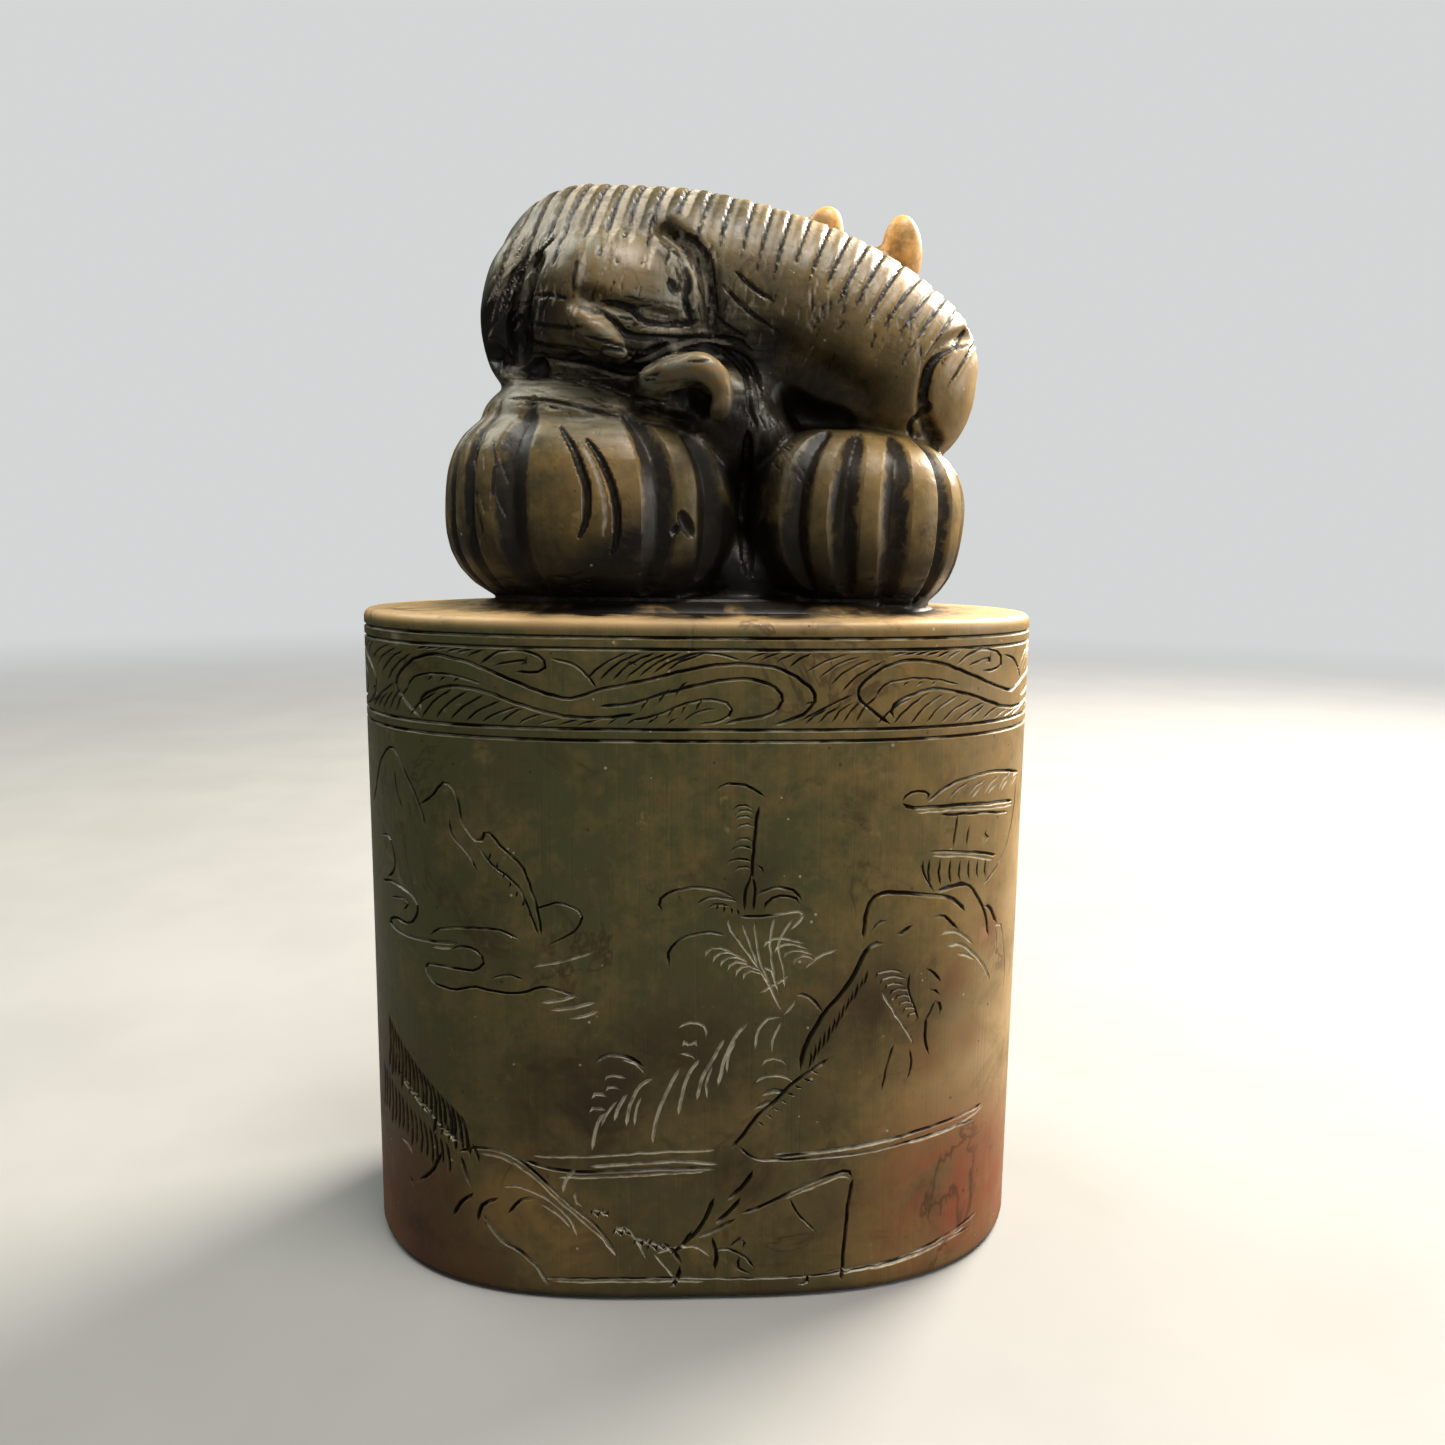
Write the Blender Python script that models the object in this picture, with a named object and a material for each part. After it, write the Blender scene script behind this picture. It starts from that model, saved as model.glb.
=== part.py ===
"""A stone chop seal: an oval block with an engraved wall, and a crouching beast carved on its top.

Metres, +Z up. The origin is the centre of the seal face, which the block stands on. The front faces -Y.
"""

import math

import bmesh
import bpy
import numpy as np
from mathutils import Euler, Vector
from mathutils.bvhtree import BVHTree
from mathutils.geometry import delaunay_2d_cdt, interpolate_bezier

# Block
BLOCK_WIDTH = 0.060
BLOCK_DEPTH = 0.033
BLOCK_HEIGHT = 0.058
WIDTH_POWER = 3.1
DEPTH_POWER = 2.0
BASE_SPREAD = 0.015
BOTTOM_ROUNDING = 0.0009
TOP_ROUNDING = 0.0007
TOP_DOME = 0.0009

# Border under the rim
RIM_BAND = 0.0014
DOUBLE_LINE = 0.0009
BORDER_HEIGHT = 0.0063
SCROLLS = 4

# Engraved lines on the wall
LINE_WIDTH = 0.00050
LINE_DEPTH = 0.00028
MERGE = 0.00002

# Knob
KNOB_HEIGHT = 0.0363
KNOB_VOXEL = 0.00042
KNOB_TRIANGLES = 4900
FLUTE_WIDTH = 0.0026
FLUTE_DEPTH = 0.0009
HAIR_SPACING = 0.00140
HAIR_WIDTH = 0.00105
HAIR_DEPTH = 0.00050

# Facets
COLUMNS = 48
EVENNESS = 0.6
ROUNDING_STEPS = 2
DOME_RINGS = (0.75, 0.4)
SHARP_ANGLE = 24.0
BALL_SIDES = 32
BALL_RINGS = 18
OUTLINE_STEPS = 2880

# Free forms are placed on two grids, whose steps are shares of the sizes above.
STEPS_ACROSS_WIDTH = 60.0
STEPS_ACROSS_DEPTH = 33.0
STEPS_UP_KNOB = 36.3
STEPS_UP_WALL = 58.0
STEPS_ROUND_WALL = 154.1
STEPS_TO_SEAM = -67.8
MILLIMETRES = 1000.0


def emptied_scene():
    for item in list(bpy.data.objects):
        bpy.data.objects.remove(item, do_unlink=True)


def stone():
    material = bpy.data.materials.new("honey soapstone")
    material.use_nodes = True
    shader = material.node_tree.nodes["Principled BSDF"]
    shader.inputs["Base Color"].default_value = (0.30, 0.19, 0.085, 1.0)
    shader.inputs["Roughness"].default_value = 0.38
    shader.inputs["Metallic"].default_value = 0.0
    return material


def placed(name, mesh):
    item = bpy.data.objects.new(name, mesh)
    bpy.context.scene.collection.objects.link(item)
    return item


def finished(item):
    """Puts the item's evaluated mesh in place of its own, and takes the modifiers off."""
    seen = item.evaluated_get(bpy.context.evaluated_depsgraph_get())
    mesh = bpy.data.meshes.new_from_object(seen)
    item.modifiers.clear()
    item.data = mesh
    return item


def smooth_route(points, steps):
    """A curve through all the points, with that many steps between each two."""
    points = [Vector(point) for point in points]
    ends = [2 * points[0] - points[1], *points, 2 * points[-1] - points[-2]]
    route = []
    for before, start, end, after in zip(ends, ends[1:], ends[2:], ends[3:]):
        bend_out = start + (end - before) / 6
        bend_in = end - (after - start) / 6
        route += interpolate_bezier(start, bend_out, bend_in, end, steps + 1)[:-1]
    return [*route, points[-1]]


# Knob: forms in grid steps from the middle of the block's top, which is the knob's own origin.

HAUNCHES = {
    "left": {"at": (-9.2, -1.0, 8.8), "radii": (12.8, 13.4, 9.2), "power": 3.2, "turn": 3,
             "flutes": (-75, -55, -42, -22, 4, 22, 38, *range(100, 262, 18))},
    "right": {"at": (13.0, -1.0, 7.8), "radii": (9.7, 13.0, 8.0), "power": 2.9, "turn": 7,
              "flutes": (-26, -8, 10, 31, 52, *range(76, 240, 18))},
}

BALLS = {
    "foot": {"at": (0.5, -0.8, -0.6), "radii": (20.9, 12.4, 2.2), "power": 3.0},
    "core": {"at": (1.5, 2.0, 14.0), "radii": (15.0, 9.0, 12.0)},
    "breast": {"at": (2.6, -4.6, 16.2), "radii": (5.4, 6.4, 5.6)},
    "rump": {"at": (-8.9, -0.5, 25.5), "radii": (9.0, 10.6, 9.8)},
    "shoulder": {"at": (-7.6, -6.0, 25.2), "radii": (7.6, 6.8, 6.0), "turn": 10},
    "wrist": {"at": (-2.0, -8.0, 18.6), "radii": (4.0, 4.4, 2.6)},
    "leaf": {"at": (-8.4, -12.0, 21.9), "radii": (3.0, 1.3, 1.1), "turn": 36},
    "cheek": {"at": (19.5, -3.0, 18.9), "radii": (4.0, 6.0, 6.0), "turn": 8},
    "head": {"at": (13.8, 6.0, 25.0), "radii": (8.0, 7.2, 7.2)},
    "muzzle": {"at": (14.4, 11.2, 20.8), "radii": (5.2, 3.6, 3.8)},
    "brow": {"at": (14.6, 5.6, 30.8), "radii": (4.2, 2.8, 2.4)},
    "eye one": {"at": (10.6, 11.4, 26.4), "radii": (1.5, 1.4, 1.4)},
    "eye two": {"at": (18.2, 11.0, 26.0), "radii": (1.5, 1.4, 1.4)},
    "ear one": {"at": (10.8, 4.6, 33.4), "radii": (1.8, 1.3, 3.2), "turn": 16},
    "ear two": {"at": (18.4, 4.6, 32.4), "radii": (1.9, 1.4, 3.4), "turn": -2},
}

ROPES = {
    "back": {"route": ((-9.0, -1.0, 26.8), (-1.0, -1.5, 26.5), (7.0, -2.0, 25.0), (12.6, -2.5, 22.8),
                       (16.2, -3.0, 20.6)),
             "radii": (8.9, 8.8, 8.3, 7.9, 7.5)},
    "tail": {"route": ((-11.4, -6.4, 32.6), (-14.2, -7.2, 31.0), (-16.4, -7.2, 27.6), (-17.1, -6.8, 24.0),
                       (-16.6, -6.8, 20.4), (-15.2, -7.4, 18.0)),
             "radii": (1.3, 1.5, 1.5, 1.4, 1.4, 1.3)},
    "paw": {"route": ((-5.4, -9.4, 19.6), (-3.2, -11.6, 19.4), (-1.2, -12.6, 19.2), (0.6, -12.7, 18.0),
                      (1.4, -12.3, 16.2), (1.0, -11.0, 14.4)),
            "radii": (0.9, 1.1, 1.25, 1.25, 1.15, 0.9)},
}

# Where the stone is scooped away before the fine carving: a route seen from the front, all in grid steps.
SCOOPS = {
    "gash": {"route": ((-13.0, 30.8), (-15.2, 28.0), (-16.0, 24.4), (-15.9, 20.2)),
             "width": 1.5, "depth": 2.0},
    "shoulder edge": {"route": ((-3.2, 30.4), (-1.1, 28.4), (0.3, 26.0), (0.6, 22.8)),
                      "width": 1.3, "depth": 1.2},
    "under the paw": {"route": ((-2.0, 16.6), (-0.6, 16.9)), "width": 1.4, "depth": 1.5},
    "under the back": {"route": ((1.6, 21.6), (4.2, 19.6), (6.6, 17.6), (11.2, 16.6), (17.0, 15.2)),
                       "width": 1.8, "depth": 1.3},
    "between the haunches": {"route": ((3.6, 2.0), (3.5, 8.0), (3.6, 14.0)), "width": 0.9, "depth": 0.7},
    "under the leaf": {"route": ((-15.0, 21.4), (-11.4, 20.6), (-7.0, 19.4), (-3.4, 20.8)),
                       "width": 0.9, "depth": 0.9},
    "over the leaf": {"route": ((-9.4, 24.7), (-6.5, 23.8), (-2.5, 23.4)), "width": 0.8, "depth": 0.7},
    "cheek edge": {"route": ((22.0, 23.4), (19.0, 21.6), (17.8, 19.0), (18.0, 16.6), (19.6, 14.4)),
                   "width": 0.8, "depth": 0.8},
}

# Combed strokes over the back: turns in degrees from its crown, behind it and down its front.
HAIR = {"rows": 25, "start": -12.0, "behind": -50, "front": 98, "rump front": 84, "rump rows": 10,
        "slant": 4.0}
FLUTE_RISES = range(-30, 31, 6)


KNOB_STEP = Vector((BLOCK_WIDTH / STEPS_ACROSS_WIDTH, BLOCK_DEPTH / STEPS_ACROSS_DEPTH,
                    KNOB_HEIGHT / STEPS_UP_KNOB))


def grid(x, y, z):
    return Vector((x, y, z)) * KNOB_STEP


def unit_ball():
    """Corners and faces of a ball of radius 1."""
    bm = bmesh.new()
    bmesh.ops.create_uvsphere(bm, u_segments=BALL_SIDES, v_segments=BALL_RINGS, radius=1.0)
    corners = np.array([vert.co for vert in bm.verts])
    faces = [[vert.index for vert in face.verts] for face in bm.faces]
    bm.free()
    return corners, faces


UNIT_CORNERS, UNIT_FACES = unit_ball()


def ball(at, radii, power=2.0, turn=0.0):
    """Corners of a closed ball. A power over 2 makes it squarer, and turn tilts it sideways, in degrees."""
    reach = (np.abs(UNIT_CORNERS) ** power).sum(1) ** (-1.0 / power)
    shaped = UNIT_CORNERS * reach[:, None] * np.array(radii)
    tilt = Euler((0.0, math.radians(turn), 0.0)).to_matrix()
    return (shaped @ np.array(tilt).T + np.array(at)) * np.array(KNOB_STEP)


def rope(route, radii, steps=5):
    """Overlapping balls along a route: a swept form with round ends."""
    places = smooth_route(route, steps)
    sizes = np.interp(np.linspace(0, len(radii) - 1, len(places)), range(len(radii)), radii)
    return [ball(place, (size, size, size)) for place, size in zip(places, sizes)]


def knob_forms():
    balls = [ball(form["at"], form["radii"], form["power"], form["turn"]) for form in HAUNCHES.values()]
    balls += [ball(**form) for form in BALLS.values()]
    for form in ROPES.values():
        balls += rope(**form)
    corners = np.concatenate(balls)
    faces = [[corner + copy * len(UNIT_CORNERS) for corner in face]
             for copy in range(len(balls)) for face in UNIT_FACES]
    mesh = bpy.data.meshes.new("knob")
    mesh.from_pydata(corners.tolist(), [], faces)
    return placed("knob", mesh)


def fused(item, smoothing):
    """Overlapping forms made into one skin, with soft hollows where they meet."""
    remesh = item.modifiers.new("one skin", "REMESH")
    remesh.mode = "VOXEL"
    remesh.voxel_size = KNOB_VOXEL
    smooth = item.modifiers.new("soft joins", "SMOOTH")
    smooth.factor = 0.5
    smooth.iterations = smoothing
    return finished(item)


def surface(item):
    bm = bmesh.new()
    bm.from_mesh(item.data)
    tree = BVHTree.FromBMesh(bm)
    bm.free()
    return tree


def cast_from_front(tree, points, steps=4):
    """Points of a front view laid on the surface, along +Y."""
    far = -2 * KNOB_HEIGHT
    hits = []
    for point in smooth_route([grid(x, 0.0, z) for x, z in points], steps):
        hit = tree.ray_cast(Vector((point.x, far, point.z)), Vector((0.0, 1.0, 0.0)))[0]
        if hit:
            hits.append(hit)
    return hits


def cast_inwards(tree, centre, directions, reach):
    """Points where rays towards the centre meet the surface, if they meet it within reach of the centre."""
    hits = []
    for direction in directions:
        hit = tree.ray_cast(centre + direction * reach * 2, -direction)[0]
        if hit and (hit - centre).length < reach:
            hits.append(hit)
    return hits


def hollow(share):
    return 1.0 - share**2


def vee(share):
    return 1.0 - share


def nearest_on(route, places):
    """For each place, its gap to the route and how far along the route that is, from 0 to 1."""
    starts, runs = route[:-1], np.diff(route, axis=0)
    away = places[:, None, :] - starts[None]
    along = np.clip((away * runs).sum(2) / np.maximum((runs**2).sum(1), 1e-16), 0.0, 1.0)
    gaps = np.linalg.norm(away - along[..., None] * runs, axis=2)
    rows = np.arange(len(places))
    nearest = gaps.argmin(1)
    return gaps[rows, nearest], (nearest + along[rows, nearest]) / len(runs)


def pressed(item, strokes, profile):
    """Moves the surface inwards along strokes, each a row of points on it with a width and a depth."""
    mesh = item.data
    places = np.empty(len(mesh.vertices) * 3)
    mesh.vertices.foreach_get("co", places)
    places = places.reshape(-1, 3)
    normals = np.empty(len(mesh.vertices) * 3)
    mesh.vertex_normals.foreach_get("vector", normals)
    normals = normals.reshape(-1, 3)
    depths = np.zeros(len(places))
    for points, width, depth, tapered in strokes:
        route = np.array(points, dtype=float)
        if len(route) < 2:
            continue
        half = width / 2
        near = np.all((places > route.min(0) - half) & (places < route.max(0) + half), axis=1).nonzero()[0]
        gaps, share = nearest_on(route, places[near])
        swell = np.sin(math.pi * np.clip(share, 0.0, 1.0)) ** 0.5 if tapered else np.ones(len(near))
        gap = np.minimum(gaps / np.maximum(half * swell, 1e-9), 1.0)
        cut = profile(gap) * depth * swell
        depths[near] = np.maximum(depths[near], cut)
    places -= normals * depths[:, None]
    mesh.vertices.foreach_set("co", places.ravel())
    mesh.update()


def scoops(tree):
    step = KNOB_STEP.z
    return [(cast_from_front(tree, scoop["route"]), 2 * scoop["width"] * step, scoop["depth"] * step, False)
            for scoop in SCOOPS.values()]


def flutes(tree):
    """Upright scoops round each haunch, like the lobes of a melon."""
    strokes = []
    for haunch in HAUNCHES.values():
        centre = grid(*haunch["at"])
        reach = grid(*haunch["radii"]).length
        for turn in haunch["flutes"]:
            side = math.radians(turn)
            outwards = Vector((math.sin(side), -math.cos(side), 0.0))
            rises = [math.radians(rise) for rise in FLUTE_RISES]
            directions = [math.cos(rise) * outwards + Vector((0.0, 0.0, math.sin(rise))) for rise in rises]
            strokes.append((cast_inwards(tree, centre, directions, reach), FLUTE_WIDTH, FLUTE_DEPTH, True))
    return strokes


def at_run(places, lengths, run):
    return Vector([np.interp(run, lengths, places[:, part]) for part in range(3)])


def hair(tree):
    """Combed strokes that wrap the back: slanted over the rump and square to the back towards the head."""
    route = smooth_route([grid(*point) for point in ROPES["back"]["route"]], 12)
    lengths = np.concatenate([[0.0], np.cumsum([(b - a).length for a, b in zip(route, route[1:])])])
    step = KNOB_STEP.x
    reach = 1.5 * max(ROPES["back"]["radii"]) * max(KNOB_STEP)
    places = np.array(route)
    first = (places[1] - places[0]) / (lengths[1] - lengths[0])
    last = (places[-1] - places[-2]) / (lengths[-1] - lengths[-2])
    strokes = []
    for row in range(HAIR["rows"]):
        crown = (HAIR["start"] - ROPES["back"]["route"][0][0]) * step + row * HAIR_SPACING
        onward = min(1.0, row / HAIR["rump rows"])
        slant = HAIR["slant"] * step * (1.0 - onward)
        front_turn = HAIR["rump front"] + (HAIR["front"] - HAIR["rump front"]) * onward
        points = []
        for share in np.linspace(0.0, 1.0, 10):
            run = crown - slant * share**1.3
            beyond = min(run, 0.0) * first + max(run - lengths[-1], 0.0) * last
            middle = at_run(places, lengths, run) + Vector(beyond)
            ahead = Vector(first)
            if run >= lengths[-1]:
                ahead = Vector(last)
            elif run > 0.0:
                ahead = at_run(places, lengths, run + step) - at_run(places, lengths, run - step)
            ahead.normalize()
            top = (Vector((0.0, 0.0, 1.0)) - ahead * ahead.z).normalized()
            front = top.cross(ahead)
            if front.y > 0:
                front = -front
            turn = math.radians(HAIR["behind"] + (front_turn - HAIR["behind"]) * share)
            points += cast_inwards(tree, middle, [math.cos(turn) * top + math.sin(turn) * front], reach)
        strokes.append((points, HAIR_WIDTH, HAIR_DEPTH, True))
    return strokes


def carved_knob():
    knob = fused(knob_forms(), 6)
    pressed(knob, scoops(surface(knob)), lambda share: hollow(share) ** 2)
    fused(knob, 2)
    tree = surface(knob)
    pressed(knob, flutes(tree), hollow)
    pressed(knob, hair(tree), vee)
    thin = knob.modifiers.new("fewer facets", "DECIMATE")
    thin.ratio = KNOB_TRIANGLES / (2 * len(knob.data.polygons))
    thin.use_collapse_triangulate = True
    return finished(knob)


# Block: its outline is |x/a|^WIDTH_POWER + |y/b|^DEPTH_POWER = 1, and lengths along it start at the front's
# middle. The wall is unrolled from a seam at the back.

def oval_table():
    turns = np.linspace(-math.pi, math.pi, OUTLINE_STEPS + 1)
    across = np.sin(turns)
    rest = np.clip(1.0 - np.abs(across) ** WIDTH_POWER, 0.0, None) ** (1.0 / DEPTH_POWER)
    x = across * BLOCK_WIDTH / 2
    y = -np.sign(np.cos(turns)) * rest * BLOCK_DEPTH / 2
    lengths = np.concatenate([[0.0], np.cumsum(np.hypot(np.diff(x), np.diff(y)))])
    return lengths - lengths[-1] / 2, x, y


OVAL_LENGTHS, OVAL_X, OVAL_Y = oval_table()
OVAL_LENGTH = OVAL_LENGTHS[-1] - OVAL_LENGTHS[0]
SEAM = STEPS_TO_SEAM * OVAL_LENGTH / STEPS_ROUND_WALL


def column_places():
    """Places round the outline for the wall's upright edges, closer together where it turns more."""
    turns = np.unwrap(np.arctan2(np.gradient(OVAL_Y), np.gradient(OVAL_X)))
    pace = np.abs(np.diff(turns)) / (2 * math.pi) + EVENNESS * np.diff(OVAL_LENGTHS) / OVAL_LENGTH
    paces = np.concatenate([[0.0], np.cumsum(pace)])
    places = np.interp(np.arange(COLUMNS) / COLUMNS * paces[-1], paces, OVAL_LENGTHS)
    beyond_seam = np.sort((places - SEAM) % OVAL_LENGTH)
    clear = (beyond_seam > LINE_WIDTH) & (beyond_seam < OVAL_LENGTH - LINE_WIDTH)
    return [SEAM, *(SEAM + beyond_seam[clear]), SEAM + OVAL_LENGTH]


def wall_point(length, height, depth=0.0, share=1.0):
    """A place on the wall. Depth goes into the stone, and share draws the outline in towards the middle."""
    length = (length - OVAL_LENGTHS[0]) % OVAL_LENGTH + OVAL_LENGTHS[0]
    x = np.interp(length, OVAL_LENGTHS, OVAL_X)
    y = np.interp(length, OVAL_LENGTHS, OVAL_Y)
    half_width, half_depth = BLOCK_WIDTH / 2, BLOCK_DEPTH / 2
    steep_x = WIDTH_POWER * abs(x / half_width) ** (WIDTH_POWER - 1) * math.copysign(1 / half_width, x)
    steep_y = DEPTH_POWER * abs(y / half_depth) ** (DEPTH_POWER - 1) * math.copysign(1 / half_depth, y)
    steep = math.hypot(steep_x, steep_y)
    spread = (1.0 + BASE_SPREAD * (1.0 - height / BLOCK_HEIGHT)) * share
    return Vector((x * spread - depth * steep_x / steep, y * spread - depth * steep_y / steep, height))


# Engraving: each motif gives lines on the unrolled wall, as rows of (length, height).

def wall_grid(points):
    return [(x * OVAL_LENGTH / STEPS_ROUND_WALL, z * BLOCK_HEIGHT / STEPS_UP_WALL) for x, z in points]


def arc(x, z, width, height, start, end, steps=4):
    """Part of an ellipse, from one turn to another in degrees, counted from the right."""
    turns = np.radians(np.linspace(start, end, steps + 1))
    return [(x + width / 2 * math.cos(turn), z + height / 2 * math.sin(turn)) for turn in turns]


SCROLL = {
    "upper edge": ((0.15, 0.06), (0.10, 0.22), (0.065, 0.45), (0.09, 0.70), (0.15, 0.88), (0.21, 0.90),
                   (0.30, 0.75), (0.41, 0.49), (0.49, 0.38), (0.56, 0.50), (0.66, 0.64), (0.76, 0.73),
                   (0.87, 0.79), (0.94, 0.70), (0.972, 0.45), (0.95, 0.20), (0.87, 0.07)),
    "lower edge": ((0.15, 0.24), (0.19, 0.42), (0.25, 0.50), (0.33, 0.43), (0.41, 0.25), (0.49, 0.16),
                   (0.60, 0.19)),
    "inner curl": ((0.545, 0.29), (0.615, 0.34), (0.69, 0.47), (0.77, 0.58), (0.86, 0.62), (0.91, 0.50),
                   (0.915, 0.33), (0.88, 0.20), (0.83, 0.16)),
    "small curl": ((0.62, 0.13), (0.69, 0.24), (0.76, 0.38), (0.81, 0.34), (0.82, 0.20), (0.78, 0.09)),
}


def border_scrolls():
    """A wave that rolls over into a curl, with combed strokes beside it, SCROLLS times round the wall."""
    low = BLOCK_HEIGHT - RIM_BAND - DOUBLE_LINE - BORDER_HEIGHT
    long = OVAL_LENGTH / SCROLLS
    lines = list(SCROLL.values())
    for place in (0.22, 0.30, 0.38, 0.46):
        lines.append(((place, 0.40 - abs(place - 0.25) * 1.2), (place - 0.055, 0.04)))
    for place in (0.46, 0.54, 0.62):
        lines.append(((place + 0.07, 0.96), (place - 0.01, 0.68)))
    return [[(SEAM + (copy + x) * long, low + z * BORDER_HEIGHT) for x, z in line]
            for copy in range(SCROLLS) for line in lines]


def far_peaks():
    ridge = ((-30.6, 41.6), (-29.2, 45.2), (-27.4, 46.8), (-25.6, 44.8), (-23.9, 42.2), (-21.3, 44.6),
             (-19.8, 42.2), (-18.2, 39.8), (-17.0, 41.0), (-14.5, 38.0), (-13.2, 34.0), (-12.9, 32.0))
    cloud = ((-29.8, 34.2), (-26.2, 35.0), (-24.0, 33.8), (-25.6, 32.2), (-27.8, 31.6), (-26.0, 31.0),
             (-21.8, 32.0))
    low_cloud = ((-19.8, 32.2), (-17.8, 32.4), (-17.8, 31.0), (-22.6, 30.0), (-22.6, 28.6), (-19.0, 28.8),
                 (-12.6, 30.0))
    return [ridge, cloud, low_cloud]


def tall_tree():
    lines = [((4.4, 44.0), (4.1, 38.0), (3.8, 34.8)), arc(2.6, 44.4, 4.4, 2.0, 150, 30)]
    for tier in range(3):
        lines.append(arc(3.0, 39.8 + tier * 1.6, 2.4, 1.4, 170, 70, 2))
    for side in (-1, 1):
        lines.append(arc(3.9 + side * 3.1, 35.0, 5.6, 3.6, 90 - side * 80, 90 + side * 70))
    for leaf in range(4):
        lines.append(((2.2 + leaf * 1.8, 33.6 - abs(leaf - 1.5)), (5.0 + leaf * 0.5, 27.2)))
    return lines


def pavilion_on_cliff():
    return [
        ((29.4, 42.0), (23.0, 43.0), (17.0, 42.8), (16.2, 43.6), (17.8, 44.2), (20.6, 44.9), (25.0, 45.2),
         (30.4, 44.4)),
        ((18.2, 38.8), (26.0, 37.6)),
        ((19.8, 42.6), (19.6, 35.9)),
        ((22.0, 38.0), (22.0, 35.8)),
        ((13.4, 31.4), (13.8, 34.8), (15.2, 36.0), (18.8, 35.4), (21.0, 35.6), (24.2, 33.0), (26.4, 30.6),
         (29.2, 26.0)),
        ((15.0, 31.4), (13.6, 29.8), (10.3, 25.2), (8.6, 22.2), (8.4, 20.0), (6.0, 17.6), (4.4, 14.4)),
        ((19.2, 31.2), (22.2, 30.0), (24.6, 27.0)),
    ]


def shore():
    return [
        ((-14.0, 13.2), (-6.0, 13.5), (1.6, 14.1)),
        ((-9.0, 12.3), (-3.0, 12.6), (2.0, 12.9)),
        ((3.6, 13.3), (10.0, 13.4), (18.0, 13.8), (25.0, 13.9)),
        ((-13.2, 2.1), (-2.0, 2.3), (8.0, 2.4), (16.0, 2.3), (25.2, 3.2)),
        ((-18.4, 12.8), (-15.8, 12.8), (-13.6, 11.6), (-11.0, 8.8), (-8.6, 7.0), (-6.9, 4.2)),
        ((-19.6, 8.2), (-18.3, 6.2), (-16.3, 3.6), (-13.6, 2.6)),
        ((4.1, 8.2), (7.6, 9.9), (12.4, 11.4), (13.4, 10.4), (13.0, 5.6), (12.8, 2.9)),
        ((-20.9, 11.6), (-22.4, 8.4), (-24.8, 5.2)),
    ]


def reeds():
    blades = ((-8.7, 14.2, 4.0), (-5.9, 16.2, 4.0), (-3.4, 15.0, 5.6), (-1.2, 17.0, 5.0), (1.6, 20.1, 5.0))
    lines = [((x, z), (x + 0.5, z + tall * 0.6), (x + 2.0, z + tall)) for x, z, tall in blades]
    for blade in range(5):
        lines.append(((-28.6 + blade * 2.2, 21.0 - blade * 1.5), (-28.4 + blade * 2.2, 16.6 - blade * 0.7)))
    return lines


def back_view():
    """The far side, plainer: hills, a cloud and a shore."""
    return [
        ((46.0, 20.0), (52.0, 28.0), (58.0, 36.0), (63.0, 29.0), (68.0, 33.0), (75.0, 24.0), (82.0, 21.0)),
        ((48.0, 13.0), (60.0, 13.6), (74.0, 12.8), (86.0, 13.4)),
        ((54.0, 8.0), (60.0, 10.0), (66.0, 6.0), (72.0, 9.0), (80.0, 5.0)),
        arc(72.0, 39.0, 9.0, 2.4, 170, 10),
    ]


def engraved_lines():
    motifs = (far_peaks, tall_tree, pavilion_on_cliff, shore, reeds, back_view)
    return [*border_scrolls(), *(wall_grid(line) for motif in motifs for line in motif())]


def ring_heights():
    """The four lines that run right round: a double line above the border and one below it."""
    upper = BLOCK_HEIGHT - RIM_BAND
    lower = upper - DOUBLE_LINE - BORDER_HEIGHT
    return upper, upper - DOUBLE_LINE, lower, lower - DOUBLE_LINE


def offset_sides(line):
    """The two edges of an engraved line: half a width to each side, and meeting its ends."""
    if len(line) == 2:
        line = [line[0], np.mean(line, axis=0), line[1]]
    line = np.array(line)
    runs = np.gradient(line, axis=0)
    across = np.stack([-runs[:, 1], runs[:, 0]], 1)
    across /= np.maximum(np.linalg.norm(across, axis=1), 1e-12)[:, None]
    half = np.full((len(line), 1), LINE_WIDTH / 2)
    half[0] = half[-1] = 0.0
    return line + across * half, line, line - across * half


def depth_on_wall(places, lines, rings):
    depths = np.zeros(len(places))
    for height in rings:
        gap = np.abs(places[:, 1] - height) / (LINE_WIDTH / 2)
        depths = np.maximum(depths, LINE_DEPTH * np.clip(1.0 - gap, 0.0, 1.0))
    for line in lines:
        line = np.array(line)
        within = (places > line.min(0) - LINE_WIDTH) & (places < line.max(0) + LINE_WIDTH)
        near = within.all(axis=1).nonzero()[0]
        gap, share = nearest_on(line, places[near])
        ends = np.clip(np.minimum(share, 1.0 - share) * (len(line) - 1), 0.0, 1.0)
        cut = LINE_DEPTH * np.clip(ends - gap / (LINE_WIDTH / 2), 0.0, 1.0)
        depths[near] = np.maximum(depths[near], cut)
    return depths


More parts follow.
